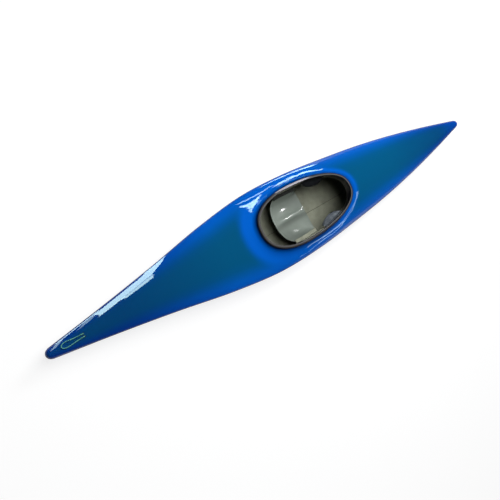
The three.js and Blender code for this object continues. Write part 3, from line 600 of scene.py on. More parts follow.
BLUE = gelcoat()
RIM = speckled("rim_gelcoat", (0.012, 0.012, 0.016), 0.06, 9.0, (0.010, 0.010, 0.014), (0.017, 0.016, 0.022))
# A painted highlight: the rim's crest is mixed to a lighter grey
blend_by(RIM, "painted_crest_highlight", "MIX", (0.15, 0.145, 0.145))
LAMINATE = woven("woven_laminate", (0.178, 0.19, 0.146), (0.394, 0.41, 0.314), 0.42)
SHELL_INSIDE = woven("shell_inside", (0.02, 0.021, 0.02), (0.052, 0.055, 0.05), 0.4)
SEAT = speckled("seat_laminate", (0.27, 0.31, 0.275), 0.19, 5.0, (0.265, 0.305, 0.27), (0.32, 0.365, 0.325))
# Painted shade: the seat's colour is darkened on the ridge's starboard flank, the rear starboard corner and the
# starboard side
blend_by(SEAT, "painted_shading", "MULTIPLY")
link(SEAT, attribute_node(SEAT, "gloss"), "Fac", shader_of(SEAT), "Specular IOR Level")
HOOK = speckled("hook_laminate", (0.035, 0.039, 0.062), 0.12, 40.0, (0.085, 0.098, 0.115), (0.14, 0.158, 0.18),
                low=0.35)
# Painted shade: the port hook's colour is darkened
blend_by(HOOK, "painted_shading", "MULTIPLY")
WHITE_FOAM = speckled("white_foam", (0.72, 0.7, 0.64), 0.85, 260.0, (0.62, 0.6, 0.54), (0.78, 0.76, 0.7),
                      high=0.65, grain=(0.3, 0.001))
GREY_FOAM = speckled("grey_foam", (0.05, 0.052, 0.055), 0.85, 420.0, (0.032, 0.034, 0.037), (0.066, 0.068, 0.072),
                     grain=(0.3, 0.0008))
ALUMINIUM = speckled("aluminium", (0.62, 0.63, 0.65), 0.32, 60.0, (0.55, 0.56, 0.58), (0.68, 0.69, 0.71), 1.0)
STEEL = speckled("steel", (0.6, 0.6, 0.61), 0.25, 90.0, (0.52, 0.52, 0.53), (0.66, 0.66, 0.67), 1.0)
BLACK_PLASTIC = speckled("black_plastic", (0.02, 0.02, 0.022), 0.42, 700.0, (0.015, 0.015, 0.017),
                         (0.026, 0.026, 0.028), grain=(0.12, 0.0004))
BOARD_PLASTIC = speckled("board_plastic", (0.035, 0.037, 0.042), 0.5, 500.0, (0.026, 0.028, 0.032),
                         (0.044, 0.046, 0.05), grain=(0.12, 0.0005))
MINT = speckled("mint_cord", (0.22, 0.62, 0.5), 0.6, 500.0, (0.07, 0.36, 0.31), (0.22, 0.6, 0.5))
SEAM = speckled("seam_resin", (0.003, 0.02, 0.07), 0.2, 30.0, (0.002, 0.016, 0.06), (0.004, 0.026, 0.085))

CARRIED = {plain_name(material): material for material in (
    BLUE, RIM, LAMINATE, SEAT, HOOK, WHITE_FOAM, GREY_FOAM, ALUMINIUM, STEEL, BLACK_PLASTIC, BOARD_PLASTIC, MINT, SEAM)}

# Stern grab loop, over the route of the part's source
LOOP_ROUTE = [
    (-1.772, 0.0085, 0.1545), (-1.772, 0.0085, 0.170), (-1.7755, 0.0088, 0.180), (-1.785, 0.0096, 0.1835),
    (-1.796, 0.0102, 0.178), (-1.810, 0.011, 0.172), (-1.830, 0.0125, 0.169), (-1.850, 0.0145, 0.167),
    (-1.870, 0.0175, 0.1645), (-1.888, 0.0175, 0.1625), (-1.903, 0.0115, 0.1615), (-1.9085, 0.002, 0.1615),
    (-1.904, -0.008, 0.161), (-1.890, -0.0145, 0.1615), (-1.870, -0.0155, 0.164), (-1.850, -0.0135, 0.167),
    (-1.830, -0.0115, 0.1695), (-1.810, -0.010, 0.172), (-1.796, -0.0094, 0.178), (-1.785, -0.009, 0.1835),
    (-1.7755, -0.0087, 0.180), (-1.772, -0.0085, 0.170), (-1.772, -0.0085, 0.1545),
]
CORD_DIAMETER = 0.0055
LOOP_X = -1.772
LOOP_Y = 0.0085


def smooth_path(points, step):
    points = np.array(points)
    points = np.concatenate([[2 * points[0] - points[1]], points, [2 * points[-1] - points[-2]]])
    gaps = np.linalg.norm(np.diff(points, axis=0), axis=1) ** 0.5
    knots = np.concatenate([[0], np.cumsum(gaps)])
    result = []
    for i in range(1, len(points) - 2):
        count = max(2, int(round(np.linalg.norm(points[i + 1] - points[i]) / step)))
        k = knots[i - 1:i + 3]
        for t in np.linspace(k[1], k[2], count, endpoint=False):
            a = [(k[j + 1] - t) / (k[j + 1] - k[j]) * points[i - 1 + j]
                 + (t - k[j]) / (k[j + 1] - k[j]) * points[i + j] for j in range(3)]
            b = [(k[j + 2] - t) / (k[j + 2] - k[j]) * a[j]
                 + (t - k[j]) / (k[j + 2] - k[j]) * a[j + 1] for j in range(2)]
            result.append((k[2] - t) / (k[2] - k[1]) * b[0] + (t - k[1]) / (k[2] - k[1]) * b[1])
    return np.array(result + [points[-2]])


def add_loop():
    path = smooth_path(LOOP_ROUTE, 0.001)
    lengths = np.concatenate([[0], np.cumsum(np.linalg.norm(np.diff(path, axis=0), axis=1))])
    strands, lay = 8, 2 * math.pi / 0.014

    def braid(i, angles):
        turn = lengths[i] * lay
        ridge = np.maximum(np.cos(angles * strands / 2 + turn), np.cos(angles * strands / 2 - turn))
        return CORD_DIAMETER / 2 * (0.94 + 0.06 * ridge)

    loop = tube(path, braid, sides=32).build("stern_grab_loop_cord", [MINT], outward=True)
    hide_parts("stern_grab_loop")
    for side, sign in SIDES:
        low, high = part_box("loop_knot_" + side)
        centre = (np.array(low) + np.array(high)) / 2
        angles = circle(90)
        trefoil = np.stack([
            np.sin(angles) + 2 * np.sin(2 * angles),
            np.cos(angles) - 2 * np.cos(2 * angles),
            -1.6 * np.sin(3 * angles)], -1) * 0.0014
        knot = tube(centre + trefoil, CORD_DIAMETER / 2 * 0.9, sides=12, closed=True)
        knot = knot.build("loop_stopper_knot_" + side, [MINT], outward=True)
        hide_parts("loop_knot_" + side)
    return float(lengths[-1])


add_loop()


# The paint, by distances: teal starts inside the blue edge, which is narrower where the boat is, and outside the blue
# ring round the rim, which is broader aft
NARROWEST = 0.03
EDGE_BLUE, EDGE_FULL, EDGE_LEAST = 0.19, 0.25, 0.3
RING_BLUE, RING_BLUE_AFT = 0.070, 0.034
RING_FADE, RING_FADE_AFT = 0.06, 0.025
AFT_START, AFT_FADE = 0.1, 0.3
BOW_BLUE, BOW_FADE = 1.97, 0.35
DEEP_STERN, DEEP_STERN_FADE = 0.75, 0.75
DEEP_BOW, DEEP_BOW_FADE, DEEP_BOW_SHARE = 0.95, 0.7, 0.8

# Painted shade near the rim, for the lip's shadow and the lip's dark reflection in the deck: its levels by distance,
# which shifts along the rim
SHADE_AWAY = [0.010, 0.017, 0.023, 0.030, 0.040, 0.056]
SHADE_LEVELS = [0.12, 0.24, 0.50, 0.66, 0.78, 1.0]
SHIFT_PLACES = [-1, -0.8, 0, 1]
SHIFTS = [-0.010, -0.004, 0.004, 0.022]
SHIFT_PORT = 0.004

# Where the gloss is less: behind the rim, along the boat's edge, and by the rim, where port streaks would show twice
GLOSS = 0.5
DULL_START, DULL_START_FADE, DULL_END, DULL_END_FADE = 0.45, 0.2, 0.06, 0.02
EDGE_DULL, EDGE_DULL_BOW, EDGE_DULL_START, EDGE_DULL_SHARE = 0.022, 0.028, 1.2, 0.93
EDGE_BOW, EDGE_BOW_FADE, EDGE_STERN, EDGE_STERN_FADE = 0.3, 0.2, -0.75, 0.3
SECOND_AWAY, SECOND_FADE = 0.041, 0.008


# Hull and deck shells
def set_paint(piece):
    x, y = vertex_places(piece.data)[:, :2].T
    width = np.maximum(beam_at(x, 0), NARROWEST)
    inside = width - np.abs(y)
    away, edge_x, edge_y = rim_distance(x, y)
    aft = fade(RIM_CENTRE + AFT_START - x, 0, AFT_FADE)
    edge = fade(inside, 0, EDGE_BLUE * np.clip(width / EDGE_FULL, EDGE_LEAST, 1))
    ring = fade(away, RING_BLUE + RING_BLUE_AFT * aft, RING_FADE + RING_FADE_AFT * aft)
    bow = fade(BOW_BLUE - x, 0, BOW_FADE)
    deep = fade(-x, DEEP_STERN, DEEP_STERN_FADE) + fade(x, DEEP_BOW, DEEP_BOW_FADE) * DEEP_BOW_SHARE
    ahead = (edge_x - RIM_CENTRE) / (RIM_LENGTH / 2)
    beside = np.clip(edge_y / (RIM_WIDTH / 2), 0, 1)
    shift = np.interp(ahead, SHIFT_PLACES, SHIFTS) + SHIFT_PORT * beside
    # Painted shade: the paint darkens towards the rim
    shade = np.interp(away - shift, SHADE_AWAY, SHADE_LEVELS)
    dull = fade(-ahead, DULL_START, DULL_START_FADE) * fade(DULL_END - away, 0, DULL_END_FADE)
    side_width = EDGE_DULL + EDGE_DULL_BOW * fade(x, EDGE_BOW, EDGE_BOW_FADE)
    side = np.clip(EDGE_DULL_START - inside / side_width, 0, 1) * fade(x, EDGE_STERN, EDGE_STERN_FADE)
    second = fair_share(x, y) * (1 - fade(away, SECOND_AWAY, SECOND_FADE))
    gloss = GLOSS * shade * (1 - dull) * (1 - EDGE_DULL_SHARE * side) * (1 - second)
    set_attribute(piece.data, "teal", eased(edge) * eased(ring) * eased(bow))
    set_attribute(piece.data, "deep", np.clip(deep, 0, 1))
    set_attribute(piece.data, "shade", shade)
    set_attribute(piece.data, "gloss", gloss)


def set_outer_normals(piece, outer_slot=0):
    mesh = piece.data
    points = vertex_places(mesh)
    fine = shading_normals(points)
    plain = read_all(mesh.vertex_normals, "vector", width=3)
    tips = np.abs(points[:, 0]) > HALF_LENGTH - TIP_RADIUS
    outer = np.where(tips[:, None], plain, fine)
    corner = read_all(mesh.loops, "vertex_index", int)
    slots = read_all(mesh.polygons, "material_index", int)
    totals = read_all(mesh.polygons, "loop_total", int)
    shown = np.repeat(slots == outer_slot, totals)
    normals = np.where(shown[:, None], outer[corner], plain[corner])
    mesh.normals_split_custom_set(normals.tolist())


def hull_rows(stations, turns, inset):
    x = squeezed(stations, inset)[:, None]
    rows = hull_point(x, turns[None, :], inset)
    flat = [rows[:, -1:] * [1, share, 1] for share in (0.6, 0.3, 0)]
    return np.concatenate([rows] + flat, 1)


def deck_rows(stations, inner, turns, inset):
    x = squeezed(stations, inset)[:, None]
    rows = deck_point(x, turns[None, :], inset, inner[:, None])
    rows[..., 2] += GAP
    return rows


def add_shells():
    hull_turns = QUARTER * (1 - (1 - np.linspace(0, 1, 23)) ** 1.15)
    outer, inner = (hull_rows(STATIONS, hull_turns, inset) for inset in (0, SHELL))
    skin = Skin()
    skin.grid(outer, slot=0)
    skin.grid(inner, flip=True, slot=1)
    skin.grid(np.stack([outer[:, 0], inner[:, 0]]), slot=1)
    skin.mirror()
    hull = skin.build("hull_moulding", [BLUE, SHELL_INSIDE], outward=True)
    set_paint(hull)
    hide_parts("hull_shell")

    deck_turns = QUARTER * np.linspace(0, 1, 45) ** 1.1
    outer, inner = (deck_rows(STATIONS, OPENING, deck_turns, inset) for inset in (0, SHELL))
    skin = Skin()
    skin.grid(outer, flip=True, slot=0)
    skin.grid(inner, slot=1)
    skin.grid(np.stack([outer[:, 0], inner[:, 0]]), slot=1)
    open_rows = OPENING > 0
    open_rows[:-1] |= OPENING[1:] > 0
    open_rows[1:] |= OPENING[:-1] > 0
    skin.grid(np.stack([outer[open_rows, -1], inner[open_rows, -1]]), slot=1)
    skin.mirror()
    deck = skin.build("deck_moulding", [BLUE, SHELL_INSIDE], outward=True)
    set_paint(deck)
    set_outer_normals(deck)
    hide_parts("deck_shell")


def seam_strip(turn_end, outer_inset, inner_inset, end):
    x = STATIONS[np.abs(STATIONS) <= end + 1e-9]
    opening = OPENING[np.abs(STATIONS) <= end + 1e-9]
    turns = QUARTER * np.linspace(0, turn_end, 5)
    line = []
    for inset in (outer_inset, inner_inset):
        hull = hull_point(squeezed(x, inset)[:, None], turns[None, ::-1], inset)
        deck = deck_rows(x, opening, turns[1:], inset)
        line.append(np.concatenate([hull, deck], 1))
    skin = Skin()
    section = np.concatenate([line[0], line[1][:, ::-1]], 1)
    skin.grid(section, close_columns=True)
    for end_index in (0, -1):
        skin.grid(np.stack([line[0][end_index], line[1][end_index]]))
    return skin


def add_seams():
    for side, sign in SIDES:
        band = seam_strip(0.05, -GAP - 0.001, -GAP, HALF_LENGTH - TIP_RADIUS + GAP)
        tape = seam_strip(0.15, SHELL + GAP, SHELL + GAP + 0.0012, TAPE_END)
        for skin, name, material, node, slot in (
                (band, "seam_band_", SEAM, "outer_seam_band_", "seam_resin"),
                (tape, "seam_tape_", LAMINATE, "inner_seam_tape_", "woven_laminate")):
            skin.points = [points * [1, sign, 1] for points in skin.points]
            piece = skin.build(name + side, [material], outward=True)
            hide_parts(node + side)


# Cockpit rim, whose crest has a painted highlight: a lighter grey that stands in for its reflection
CREST_HIGHLIGHT_START, CREST_HIGHLIGHT_FADE = -0.0001, 0.0007


def add_rim():
    inner = LIP + GAP + SKIRT
    profile = rounded([
        (inner, -SKIRT_DEPTH), (inner, -0.0032), (inner - 0.0036, 0.0014), (0.0014, -0.0042), (0, -0.0052),
        (0.0022, -0.0062), (LIP - SKIRT, -0.0052), (LIP - SKIRT, GAP * 2 - RISER), (LIP + GAP, GAP * 2 - RISER),
        (LIP + GAP, -SKIRT_DEPTH)], 0.0026)
    rows = []
    for angle in circle(240):
        x, y = rim_point(angle, profile[:, 0])
        rows.append(np.stack([x, y, rim_z(x) + profile[:, 1]], -1))
    skin = Skin()
    skin.grid(np.array(rows), close_rows=True, close_columns=True)
    rim = skin.build("cockpit_rim_ring", [RIM], outward=True)
    places = vertex_places(rim.data)
    # Painted highlight along the crest
    set_attribute(rim.data, "painted_crest_highlight", fade(places[:, 2] - rim_z(places[:, 0]), CREST_HIGHLIGHT_START, CREST_HIGHLIGHT_FADE))
    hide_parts("cockpit_rim")


# Hip plates, bolts and thigh hooks
PLATE_INSET = LIP + GAP + SKIRT + GAP
PLATE = 0.0035
PLATE_TOP = 0.022
PLATE_DEPTH = 0.118
SHELF_TOP = 0.106
SHELF_WIDTH = 0.025
SHELF_FALL = 0.010


def add_hips():
    plate_low, plate_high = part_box("hip_plate_port")
    rear, front = plate_low[0], plate_high[0]
    inset = PLATE_INSET + PLATE / 2
    u = np.linspace(0, 1, 41)
    v = np.linspace(0, 1, 19)
    x_line = rear + PLATE / 2 + (front - rear - PLATE) * (1 - np.cos(u * math.pi)) / 2
    for side, sign in SIDES:
        fade = np.minimum(u, 1 - u)
        corner = 0.012 * (1 - np.sqrt(np.clip(1 - (1 - np.minimum(fade / 0.05, 1)) ** 2, 0, 1)))
        top = rim_z(x_line) - PLATE_TOP - PLATE / 2 - corner
        bottom = rim_z(x_line) - PLATE_TOP - PLATE_DEPTH + PLATE / 2 + corner * 1.6
        rows = []
        for x, high, low in zip(x_line, top, bottom):
            z = high + (low - high) * v
            slant = 0.011 * np.clip((rim_z(x) - PLATE_TOP - z) / PLATE_DEPTH, 0, 1)
            shift = slant * (1 - 2 * (x - rear) / (front - rear))
            place = x + shift
            rows.append(np.stack([place, sign * rim_half_width(place, inset), z], -1))
        plate = sheet(np.array(rows), PLATE)
        across = np.linspace(0, 1, 9)[None, :]
        place = x_line[1:-1, None] + 0.006 * np.sign(0.5 - u[1:-1, None]) * (np.abs(2 * u[1:-1, None] - 1) > 0.97)
        y = rim_half_width(place, inset) - SHELF_WIDTH * across
        z = rim_z(place) - SHELF_TOP - PLATE / 2 - SHELF_FALL * across
        shelf_rows = np.stack(np.broadcast_arrays(place, sign * y, z), -1)
        plate.add(sheet(shelf_rows, PLATE * 0.9, slots=(1, 1)))
        # Painted shade: the port shelf takes the dark inside-shell laminate, the starboard shelf the plain laminate
        shelf_material_shaded_on_port = SHELL_INSIDE if side == "port" else LAMINATE
        plate = plate.build("hip_plate_panel_" + side, [LAMINATE, shelf_material_shaded_on_port], outward=True)
        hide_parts("hip_plate_" + side)


def add_bolts():
    for side, sign in SIDES:
        for end in ("front", "rear"):
            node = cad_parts["hip_bolt_%s_%s" % (side, end)]
            points = np.array([v.co for v in node.data.vertices])
            centre = points.mean(0)
            _, _, axes = np.linalg.svd(points - centre)
            axis = axes[0] * (-1 if axes[0][1] * sign > 0 else 1)
            reach = (points - centre) @ axis
            top = centre + axis * reach.max()
            length = reach.max() - reach.min()
            profile = [
                (0, -0.0018), (0.0017, -0.0018), (0.0017, -0.0002), (0.002, 0), (0.0035, -0.0003),
                (0.0048, -0.001), (0.0058, -0.0021), (0.006, -0.0026), (0.006, -0.0031), (0.003, -0.0032),
                (0.003, -length + 0.0006), (0.0024, -length), (0, -length)]
            bolt = lathe(profile, top, axis, 24).build("hip_screw_%s_%s" % (side, end), [STEEL], outward=True)
            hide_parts("hip_bolt_%s_%s" % (side, end))


HOOK_REAR = 0.048
HOOK_FRONT = 0.240
HOOK_REACH = 0.044
HOOK_DROOP = 0.020
HOOK_THICKNESS = 0.004


def add_hooks():
    root = PLATE_INSET + 0.0015
    u = np.linspace(0, 1, 49)
    x = HOOK_REAR + HOOK_THICKNESS + (HOOK_FRONT - HOOK_REAR - 2 * HOOK_THICKNESS) * u
    reach = 2 * HOOK_THICKNESS + (HOOK_REACH - 2 * HOOK_THICKNESS) * np.sin(math.pi * u) ** 0.7
    wall = np.linspace(0, 1, 9)[:-1]
    v = np.linspace(0, 1, 15)
    half = rim_half_width(x, root)
    tongue_z = rim_z(x) - 0.062 + 2 * HOOK_THICKNESS + HOOK_THICKNESS / 2
    rows = []
    for i in range(len(u)):
        top = rim_z(x[i]) - 0.0275
        bend = 0.008
        up = [(half[i], top + (tongue_z[i] + bend - top) * w) for w in wall]
        arc = [(half[i] - bend * (1 - math.cos(a)), tongue_z[i] + bend * (1 - math.sin(a)))
               for a in np.linspace(0, QUARTER, 6)[:-1]]
        out = [(half[i] - bend - (reach[i] - bend) * w, tongue_z[i] - HOOK_DROOP * w * w) for w in v]
        rows.append([(x[i], y, z) for y, z in up + arc + out])
    rows = np.array(rows)
    for side, sign in SIDES:
        hook = sheet(rows * [1, sign, 1], HOOK_THICKNESS * 0.9).build(
            "thigh_hook_moulding_" + side, [HOOK], outward=True)
        # Painted shade: the port hook is darkened to a tenth
        set_attribute(hook.data, "painted_shading", np.full(len(hook.data.vertices), 0.1 if side == "port" else 1.0))
        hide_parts("thigh_hook_" + side)


def add_liners():
    inset = SHELL + GAP + LINER / 2
    rear = float(rim_point(math.pi, LIP)[0])
    x = np.linspace(rear + LINER / 2, LINER_FRONT - LINER, 120)[:, None]
    turns = QUARTER * (0.56 + 0.44 * (1 - (1 - np.linspace(0, 1, 15)) ** 1.3))
    rows = hull_point(x, turns[None, :], inset)
    flat = np.stack([rows[:, -1] * [1, share, 1] for share in (0.66, 0.33)], 1)
    for side, sign in SIDES:
        split = rows[:, -1:] * [1, 0, 1] + [0, 0.002 - sign * LINER_SPLIT, 0]
        reached = flat[:, :1] if sign < 0 else flat
        panel = np.concatenate([rows, reached, split], 1)
        liner = sheet(panel * [1, sign, 1], LINER * 0.95).build("floor_panel_" + side, [LAMINATE], outward=True)
        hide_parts("floor_liner_" + side)


# Seat
SEAT_REAR = -0.245
SEAT_FRONT = 0.104
SEAT_SWEEP = 0.075
SEAT_THICKNESS = 0.004
SEAT_SIDE_DROP = 0.1130
SEAT_SIDE_FALL = 0.110
SEAT_FLARE = 0.024


def add_seat():
    inset = PLATE_INSET + PLATE + GAP + SEAT_THICKNESS + GAP
    u = np.linspace(0, 1, 57)[:, None]
    v = np.linspace(-1, 1, 97)[None, :]
    side = np.abs(v)
    rear = SEAT_REAR + SEAT_SWEEP * side ** 2.5
    x = rear + (SEAT_FRONT - rear) * u
    y = v * (rim_half_width(x, inset) + SEAT_FLARE * np.maximum(5 * u - 4, 0))
    dish = np.sin(math.pi * np.minimum(side / 0.9, 1)) ** 2 * np.sin(math.pi * u) ** 0.5
    ridge = np.exp(-(np.abs(v) / 0.12) ** 3) * np.sin(math.pi * u) ** 0.6
    wall = np.maximum((side - 0.66) / 0.34, 0) ** 2.2
    bottom = 0.040 + 0.092 * (1 - u) ** 3 + 0.014 * u ** 3 - 0.013 * dish + 0.016 * ridge
    wall_top = rim_z(x) - SEAT_SIDE_DROP - SEAT_SIDE_FALL * np.maximum(2 * u - 1, 0) ** 2
    z = bottom + (wall_top - bottom) * wall
    rows = np.stack(np.broadcast_arrays(x, y, z), -1)
    rows = rows - grid_normals(rows) * SEAT_THICKNESS / 2
    seat = sheet(rows, SEAT_THICKNESS).build("seat_moulding", [SEAT], outward=True)
    x, y = vertex_places(seat.data)[:, :2].T
    # Painted shade on the ridge's starboard flank, at the rear starboard corner and on the starboard side
    flank_shade = np.exp(-((y + 0.034) / 0.02) ** 2)
    corner = np.exp(-((y + 0.13) / 0.06) ** 2) * np.clip(0.3 - x / 0.15, 0, 1)
    starboard_shade = np.clip(-y / 0.04, 0, 1)
    set_attribute(seat.data, "painted_shading", (1 - 0.3 * flank_shade) * (1 - 0.35 * corner) * (1 - 0.12 * starboard_shade))
    set_attribute(seat.data, "gloss", 0.5 - 0.46 * np.clip(0.5 - y / 0.04, 0, 1))
    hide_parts("seat_pan")


# Footrest
def rounded_panel(half_width, low, high, corner, inset, steps=10):
    points = []
    for y, z, start in ((1, low, -1), (1, high, 0), (-1, high, 1), (-1, low, 2)):
        centre_y = y * (half_width - corner)
        centre_z = z + corner if z == low else z - corner
        for angle in np.linspace(start * QUARTER, (start + 1) * QUARTER, steps):
            reach = corner - inset
            points.append((centre_y + reach * math.cos(angle), centre_z + reach * math.sin(angle)))
    return np.array(points)


def add_pad():
    low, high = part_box("footrest_pad")
    thickness = high[0] - low[0]
    half_width = (high[1] - low[1]) / 2
    corner = 0.024
    rings = []
    for along, inset in ((1, 0), (0.96, 0), (0.7, 0), (0.4, 0), (0.15, 0.001), (0.04, 0.004), (0, 0.010), (0, 0.020)):
        outline = rounded_panel(half_width, low[2], high[2], corner, inset)
        x = low[0] + thickness * along
        rings.append(np.column_stack([np.full(len(outline), x), outline]))
    centre = np.array([low[0], 0, (low[2] + high[2]) / 2])
    last = rings[-1]
    for share in (0.66, 0.33, 0):
        rings.append(centre + (last - centre) * share - [0.0012 * (1 - share), 0, 0])
    back_centre = np.array([high[0], 0, (low[2] + high[2]) / 2])
    rings.insert(0, np.broadcast_to(back_centre, last.shape))
    skin = Skin()
    skin.grid(np.array(rings), close_columns=True)
    pad = skin.build("footrest_foam_pad", [GREY_FOAM], body="footrest", outward=True)
    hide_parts("footrest_pad")


def add_knobs():
    for side, sign in SIDES:
        low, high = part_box("footrest_knob_" + side)
        inner = low[1] if sign > 0 else high[1]
        outer_tip = high[1] if sign > 0 else low[1]
        depth = 0.016
        angles = circle(96)
        lobes = 0.016 * (1 - 0.12 * (0.5 - np.cos(angles * 6) / 2))
        profile = [(lobes * reach, inner + sign * depth * share) for share, reach in (
            (0.12, 0.0), (0.12, 0.5), (0.05, 0.6), (0, 0.8), (0.02, 0.9), (0.08, 0.97), (0.2, 1), (0.85, 1),
            (0.95, 0.97), (1, 0.9), (1, 0.4))]
        profile += [(0.003, inner + sign * depth), (0.003, outer_tip - sign * 0.0008), (0.0022, outer_tip),
                    (0.0, outer_tip)]
        rings = [np.stack([STUD_X + radius * np.cos(angles), np.full(len(angles), y),
                           RAIL_CENTRE + radius * np.sin(angles)], -1) for radius, y in profile]
        skin = Skin()
        skin.grid(np.array(rings), close_columns=True)
        knob = skin.build("clamp_knob_" + side, [BLACK_PLASTIC], body="knob_" + side, outward=True)
        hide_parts("footrest_knob_" + side)


def add_sleeves():
    for side, sign in SIDES:
        low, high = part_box("loop_sleeve_" + side)
        bore, outer, flange = 0.0032, 0.0052, 0.007
        top, bottom = high[2], low[2]
        under = top - 0.002
        profile = [
            (bore, bottom), (outer, bottom), (outer, under), (flange - 0.0003, under), (flange, under + 0.0004),
            (flange - 0.0002, under + 0.0011), (flange - 0.0009, under + 0.0017), (flange - 0.0018, top),
            (bore + 0.0006, top), (bore, top - 0.0006), (bore, bottom)]
        sleeve = lathe(profile, (LOOP_X, sign * LOOP_Y, 0), (0, 0, 1)).build(
            "loop_bush_" + side, [BLACK_PLASTIC], outward=True)
        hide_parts("loop_sleeve_" + side)


add_shells()
add_seams()
add_rim()
add_hips()
add_bolts()
add_hooks()
add_liners()
add_seat()
add_pad()
add_knobs()
add_sleeves()


# CAD nodes that keep their shape get these finishes
def dress_carried():
    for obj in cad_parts.values():
        for i, material in enumerate(obj.data.materials):
            key = plain_name(material) if material else ""
            if key in CARRIED:
                obj.data.materials[i] = CARRIED[key]
            else:
                print("no finish for", obj.name, key)


dress_carried()


# Studio
def add_floor():
    mesh = bpy.data.meshes.new("floor")
    size = 40
    mesh.from_pydata([(-size, -size, 0), (size, -size, 0), (size, size, 0), (-size, size, 0)], [], [(0, 1, 2, 3)])
    floor = bpy.data.objects.new("floor", mesh)
    bpy.context.collection.objects.link(floor)
    material = bpy.data.materials.new("floor")
    material.use_nodes = True
    tree = material.node_tree
    shader = tree.nodes["Principled BSDF"]
    shader.inputs["Base Color"].default_value = (0.3, 0.3, 0.3, 1)
    shader.inputs["Roughness"].default_value = 0.9
    shader.inputs["Specular IOR Level"].default_value = 0.0
    path = add_node(material, "ShaderNodeLightPath")
    glow = add_node(material, "ShaderNodeEmission", Strength=0.8)
    add = add_node(material, "ShaderNodeAddShader")
    mix = add_node(material, "ShaderNodeMixShader")
    tree.links.new(shader.outputs[0], add.inputs[0])
    tree.links.new(glow.outputs[0], add.inputs[1])
    seen = path.outputs["Is Camera Ray"]
    for ray in ("Is Glossy Ray", "Is Transmission Ray"):
        either = add_node(material, "ShaderNodeMath", operation="MAXIMUM")
        tree.links.new(seen, either.inputs[0])
        tree.links.new(path.outputs[ray], either.inputs[1])
        seen = either.outputs[0]
    tree.links.new(seen, mix.inputs[0])
    tree.links.new(shader.outputs[0], mix.inputs[1])
    tree.links.new(add.outputs[0], mix.inputs[2])
    tree.links.new(mix.outputs[0], tree.nodes["Material Output"].inputs["Surface"])
    mesh.materials.append(material)


def add_world():
    world = bpy.data.worlds.new("world")
    bpy.context.scene.world = world
    world.use_nodes = True
    tree = world.node_tree
    background = tree.nodes["Background"]
    place = tree.nodes.new("ShaderNodeTexCoord")
    split = tree.nodes.new("ShaderNodeSeparateXYZ")
    colors = tree.nodes.new("ShaderNodeValToRGB")
    tree.links.new(place.outputs["Generated"], split.inputs[0])
    tree.links.new(split.outputs["Z"], colors.inputs["Fac"])
    tree.links.new(colors.outputs["Color"], background.inputs["Color"])
    elements = colors.color_ramp.elements
    elements[0].position, elements[0].color = 0.0, (0.14, 0.15, 0.16, 1)
    elements[1].position, elements[1].color = 0.35, (0.03, 0.032, 0.035, 1)
    background.inputs["Strength"].default_value = 1.0


WHITE = (1.0, 1.0, 1.0)
DAYLIGHT = (0.69, 1.0, 0.99)


# A rectangle lamp: its first side along one direction, facing another, with the radiance it has.
# One for only one piece is light-linked to it and lights no other
def add_lamp(name, place, along, facing, size, radiance, color=WHITE, glossy=True, only=None):
    data = bpy.data.lights.new(name, "AREA")
    data.shape = "RECTANGLE"
    data.size, data.size_y = size
    data.energy = radiance * math.pi * size[0] * size[1]
    data.color = color
    lamp = bpy.data.objects.new(name, data)
    bpy.context.collection.objects.link(lamp)
    side = Vector(along).normalized()
    back = -Vector(facing)
    back = (back - side * back.dot(side)).normalized()
    lamp.matrix_world = Matrix.Translation(place) @ Matrix((side, back.cross(side), back)).transposed().to_4x4()
    lamp.visible_glossy = glossy
    lamp.visible_diffuse = not glossy
    lamp.visible_camera = False
    if only:
        lit = bpy.data.collections.get("lit_" + only) or bpy.data.collections.new("lit_" + only)
        if only not in lit.objects:
            lit.objects.link(bpy.data.objects[only])
        lamp.light_linking.receiver_collection = lit


# The upright planes that the lamps stand on, as (axis, place on it)
PORT_PLANE = (1, 3.0)
BOW_PLANE = (0, 4.0)


# A lamp on the port plane, by its (x, height)
def add_panel(name, centre, size, lean, radiance, color=DAYLIGHT, only="deck_moulding"):
    tilt = math.radians(lean)
    place = Vector((centre[0], PORT_PLANE[1], centre[1]))
    top = place + Vector((math.sin(tilt), 0, math.cos(tilt)))
    facing = Vector((0, 0, place.z)) - place
    add_lamp(name, place, top - place, facing, (size[1], size[0]), radiance, color, only=only)


# Where an upright plane is seen mirrored in the deck, at a pixel of the photograph
NEAREST, FURTHEST, RAY_STEPS = 2.5, 5.5, 12000


def mirrored(pixel, plane=PORT_PLANE):
    axis, stand = plane
    camera = bpy.context.scene.camera.matrix_world
    toward = (pixel[0] - IMAGE_SIZE / 2, IMAGE_SIZE / 2 - pixel[1], -FOCAL_PIXELS)
    ray = unit(np.array(camera.to_3x3()) @ toward)
    start = np.array(camera.translation)
    reach = np.linspace(NEAREST, FURTHEST, RAY_STEPS)
    points = start + ray * reach[:, None]
    above = points[:, 2] - deck_z(points[:, 0], np.abs(points[:, 1]), 0)
    after = int(np.argmax(above < 0))
    share = above[after - 1] / (above[after - 1] - above[after])
    place = points[after - 1] + (points[after] - points[after - 1]) * share
    normal = shading_normals(place[None])[0]
    away = ray - normal * 2 * ray.dot(normal)
    return place + away * (stand - place[axis]) / away[axis]


# Lamps that light up a line of the deck, given as (pixel, pixel, thickness in pixels)
def add_streak(name, line, radiance):
    line = np.array(line, float)
    for i, (start, end) in enumerate(zip(line, line[1:])):
        along = unit(end[:2] - start[:2])
        across = np.array([-along[1], along[0]]) * (start[2] + end[2]) / 4
        middle = (start[:2] + end[:2]) / 2
        first, last = mirrored(start[:2]), mirrored(end[:2])
        sides = mirrored(middle + across) - mirrored(middle - across)
        width = np.linalg.norm(np.cross(sides, unit(last - first)))
        add_lamp("%s_%d" % (name, i), Vector((first + last) / 2), Vector(last - first), (0, -1, 0),
                 (float(np.linalg.norm(last - first)), float(width)), radiance, DAYLIGHT, only="deck_moulding")


